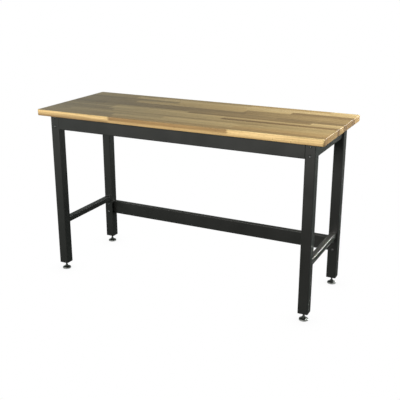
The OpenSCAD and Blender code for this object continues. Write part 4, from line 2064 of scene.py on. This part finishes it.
@dataclass(frozen=True)
class Studio:
    """A pale floor that sweeps up into a white cove, bright at its sides, and soft lamps.

    The camera sees floor and cove as white. What the bench itself sees of them is grey: dim near
    the bench and overhead, brighter far off, and brightest to the left and right.
    """

    floor_reach: float = 150.0
    # The faint shade on the floor where something is near
    contact_reach: float = 0.12
    contact_limits: Limits = (0.3, 1.0)
    contact_shade: float = 0.90
    contact_samples: int = 8
    # The floor's glow, which grows between two distances from the bench
    near_glow: float = 0.12
    far_glow: float = 0.47
    near_reach: float = 0.5
    far_reach: float = 3.6
    # The cove's glow overhead and below, and the Z of the directions between which it changes
    overhead_glow: float = 0.01
    cove_glow: float = 1.16
    cove_foot: float = 0.15
    cove_height: float = 0.60
    # Its shares in the middle and at the sides, and where the one ends and the other starts
    middle_share: float = 0.22
    outer_share: float = 1.05
    middle_half_width: float = 0.30
    outer_start: float = 1.0
    glow_colour: Colour = (0.89, 1.0, 0.93)
    lamps: tuple[SoftBox, ...] = (
        SoftBox("front_lamp", place=(-0.1, -4.0, 1.75), target=(0.0, 0.0, 0.75), width=2.6,
                height=1.3, power=120.0, colour=(1.0, 0.98, 0.93)),
        SoftBox("left_lamp", place=(-3.0, -3.3, 1.8), target=(-0.3, 0.0, 0.75), width=1.4,
                height=1.0, power=41.0),
        SoftBox("right_lamp", place=(1.38, 0.50, 1.9), target=(0.6, 0.1, 0.8), width=0.9,
                height=0.9, power=29.5, colour=(1.0, 0.98, 0.93)),
        SoftBox("rim_lamp", place=(1.6, 3.4, 1.8), target=(0.7, 0.0, 0.8), width=1.1,
                height=0.9, power=27.0),
        SoftBox("side_lamp", place=(2.3, 3.3, 0.75), target=(0.7, 0.0, 0.28), width=0.9,
                height=0.9, power=9.0, colour=(0.98, 1.0, 0.92)),
        SoftBox("tube_lamp", place=(2.1, 3.4, 1.25), target=(0.7, 0.0, 0.29), width=0.5,
                height=0.5, power=0.85, spread=9.0),
    )

    def build(self) -> None:
        """Builds the floor, the cove and the lamps."""
        self.floor()
        self.cove()
        for lamp in self.lamps:
            lamp.build()
        bpy.context.scene.view_settings.view_transform = "Standard"

    def side_share(self, graph: Graph, way: bpy.types.NodeSocket) -> bpy.types.NodeSocket:
        """Says how bright the cove is in a direction: full to the sides, less in the middle.

        Args:
            graph: the graph that asks.
            way: the direction.

        Returns:
            The share of the full light.
        """
        flat = graph.vector("NORMALIZE", graph.vector("MULTIPLY", way, (1.0, 1.0, 0.0)))
        return graph.ease(graph.math("ABSOLUTE", graph.part(flat, "X")), self.middle_half_width,
                          self.outer_start, self.middle_share, self.outer_share)

    def floor(self) -> None:
        """Lays the floor."""
        maker = bmesh.new()
        corners = [maker.verts.new((x * self.floor_reach, y * self.floor_reach, 0.0))
                   for x, y in ((-1, -1), (1, -1), (1, 1), (-1, 1))]
        maker.faces.new(corners)
        data = bpy.data.meshes.new("studio_floor")
        maker.to_mesh(data)
        maker.free()
        data.materials.append(self.floor_material())
        floor = bpy.data.objects.new("studio_floor", data)
        bpy.context.scene.collection.objects.link(floor)

    def floor_material(self) -> bpy.types.Material:
        """Makes the floor white to the camera, but for a faint shade at the feet.

        Returns:
            The material, which can't be seen from below.
        """
        material = bpy.data.materials.new("studio_floor")
        material.use_nodes = True
        material.cycles.emission_sampling = "NONE"
        graph = Graph(material.node_tree)
        graph.tree.nodes.clear()
        near = graph.node("ShaderNodeAmbientOcclusion", {"Distance": self.contact_reach},
                          samples=self.contact_samples).outputs["AO"]
        contact = graph.ease(near, *self.contact_limits, self.contact_shade, 1.0)
        white = graph.node("ShaderNodeEmission", {"Strength": contact})
        geometry = graph.node("ShaderNodeNewGeometry").outputs
        glow = graph.ease(graph.vector("LENGTH", geometry["Position"]), self.near_reach,
                          self.far_reach, self.near_glow, self.far_glow)
        glow = graph.product(glow, self.side_share(graph, geometry["Position"]))
        grey = graph.node("ShaderNodeEmission", {"Color": self.glow_colour, "Strength": glow})
        seen = graph.node("ShaderNodeLightPath").outputs["Is Camera Ray"]
        above = graph.node("ShaderNodeMixShader", {0: seen, 1: grey.outputs[0],
                                                   2: white.outputs[0]})
        below = graph.node("ShaderNodeBsdfTransparent")
        both = graph.node("ShaderNodeMixShader", {0: geometry["Backfacing"],
                                                  1: above.outputs[0], 2: below.outputs[0]})
        graph.node("ShaderNodeOutputMaterial", {"Surface": both.outputs[0]})
        return material

    def cove(self) -> None:
        """Sets a world that is white to the camera and a grey cove to the bench."""
        world = bpy.data.worlds.new("studio_cove")
        bpy.context.scene.world = world
        world.use_nodes = True
        graph = Graph(world.node_tree)
        graph.tree.nodes.clear()
        way = graph.node("ShaderNodeTexCoord").outputs["Generated"]
        band = graph.ease(graph.part(way, "Z"), self.cove_foot, self.cove_height,
                          self.cove_glow, 0.0)
        glow = graph.math("MULTIPLY_ADD", band, self.side_share(graph, way), self.overhead_glow)
        room = graph.node("ShaderNodeBackground", {"Color": self.glow_colour, "Strength": glow})
        white = graph.node("ShaderNodeBackground", {"Color": (1.0, 1.0, 1.0)})
        seen = graph.node("ShaderNodeLightPath").outputs["Is Camera Ray"]
        both = graph.node("ShaderNodeMixShader", {0: seen, 1: room.outputs[0],
                                                  2: white.outputs[0]})
        graph.node("ShaderNodeOutputWorld", {"Surface": both.outputs[0]})


@dataclass(frozen=True)
class PhotoCamera:
    """The photograph's viewpoint, with its angles in degrees and its lens and sensor in mm."""

    place: Point = (1.59186, -3.15007, 1.59518)
    tilt: float = 71.72
    turn: float = 26.45
    lens: float = 63.711
    sensor: float = 36.0

    def build(self) -> None:
        """Puts the camera in the scene."""
        data = bpy.data.cameras.new("photo_camera")
        data.lens = self.lens
        data.sensor_width = self.sensor
        made = bpy.data.objects.new("photo_camera", data)
        made.location = self.place
        made.rotation_euler = Euler((math.radians(self.tilt), 0.0, math.radians(self.turn)))
        bpy.context.scene.collection.objects.link(made)
        bpy.context.scene.camera = made


def main() -> None:
    """Builds the bench's looks round its frame, then the studio."""
    logging.basicConfig(level=logging.INFO, format="%(name)s: %(message)s")
    PhotoCamera().build()
    finishes = Finishes.build()
    SteelFrame().build(finishes)
    Worktop().build(finishes)
    Fasteners().build(finishes)
    for corner in CORNERS:
        LevellingFoot(corner).build(finishes)
    Studio().build()


if __name__ == "__main__":
    main()
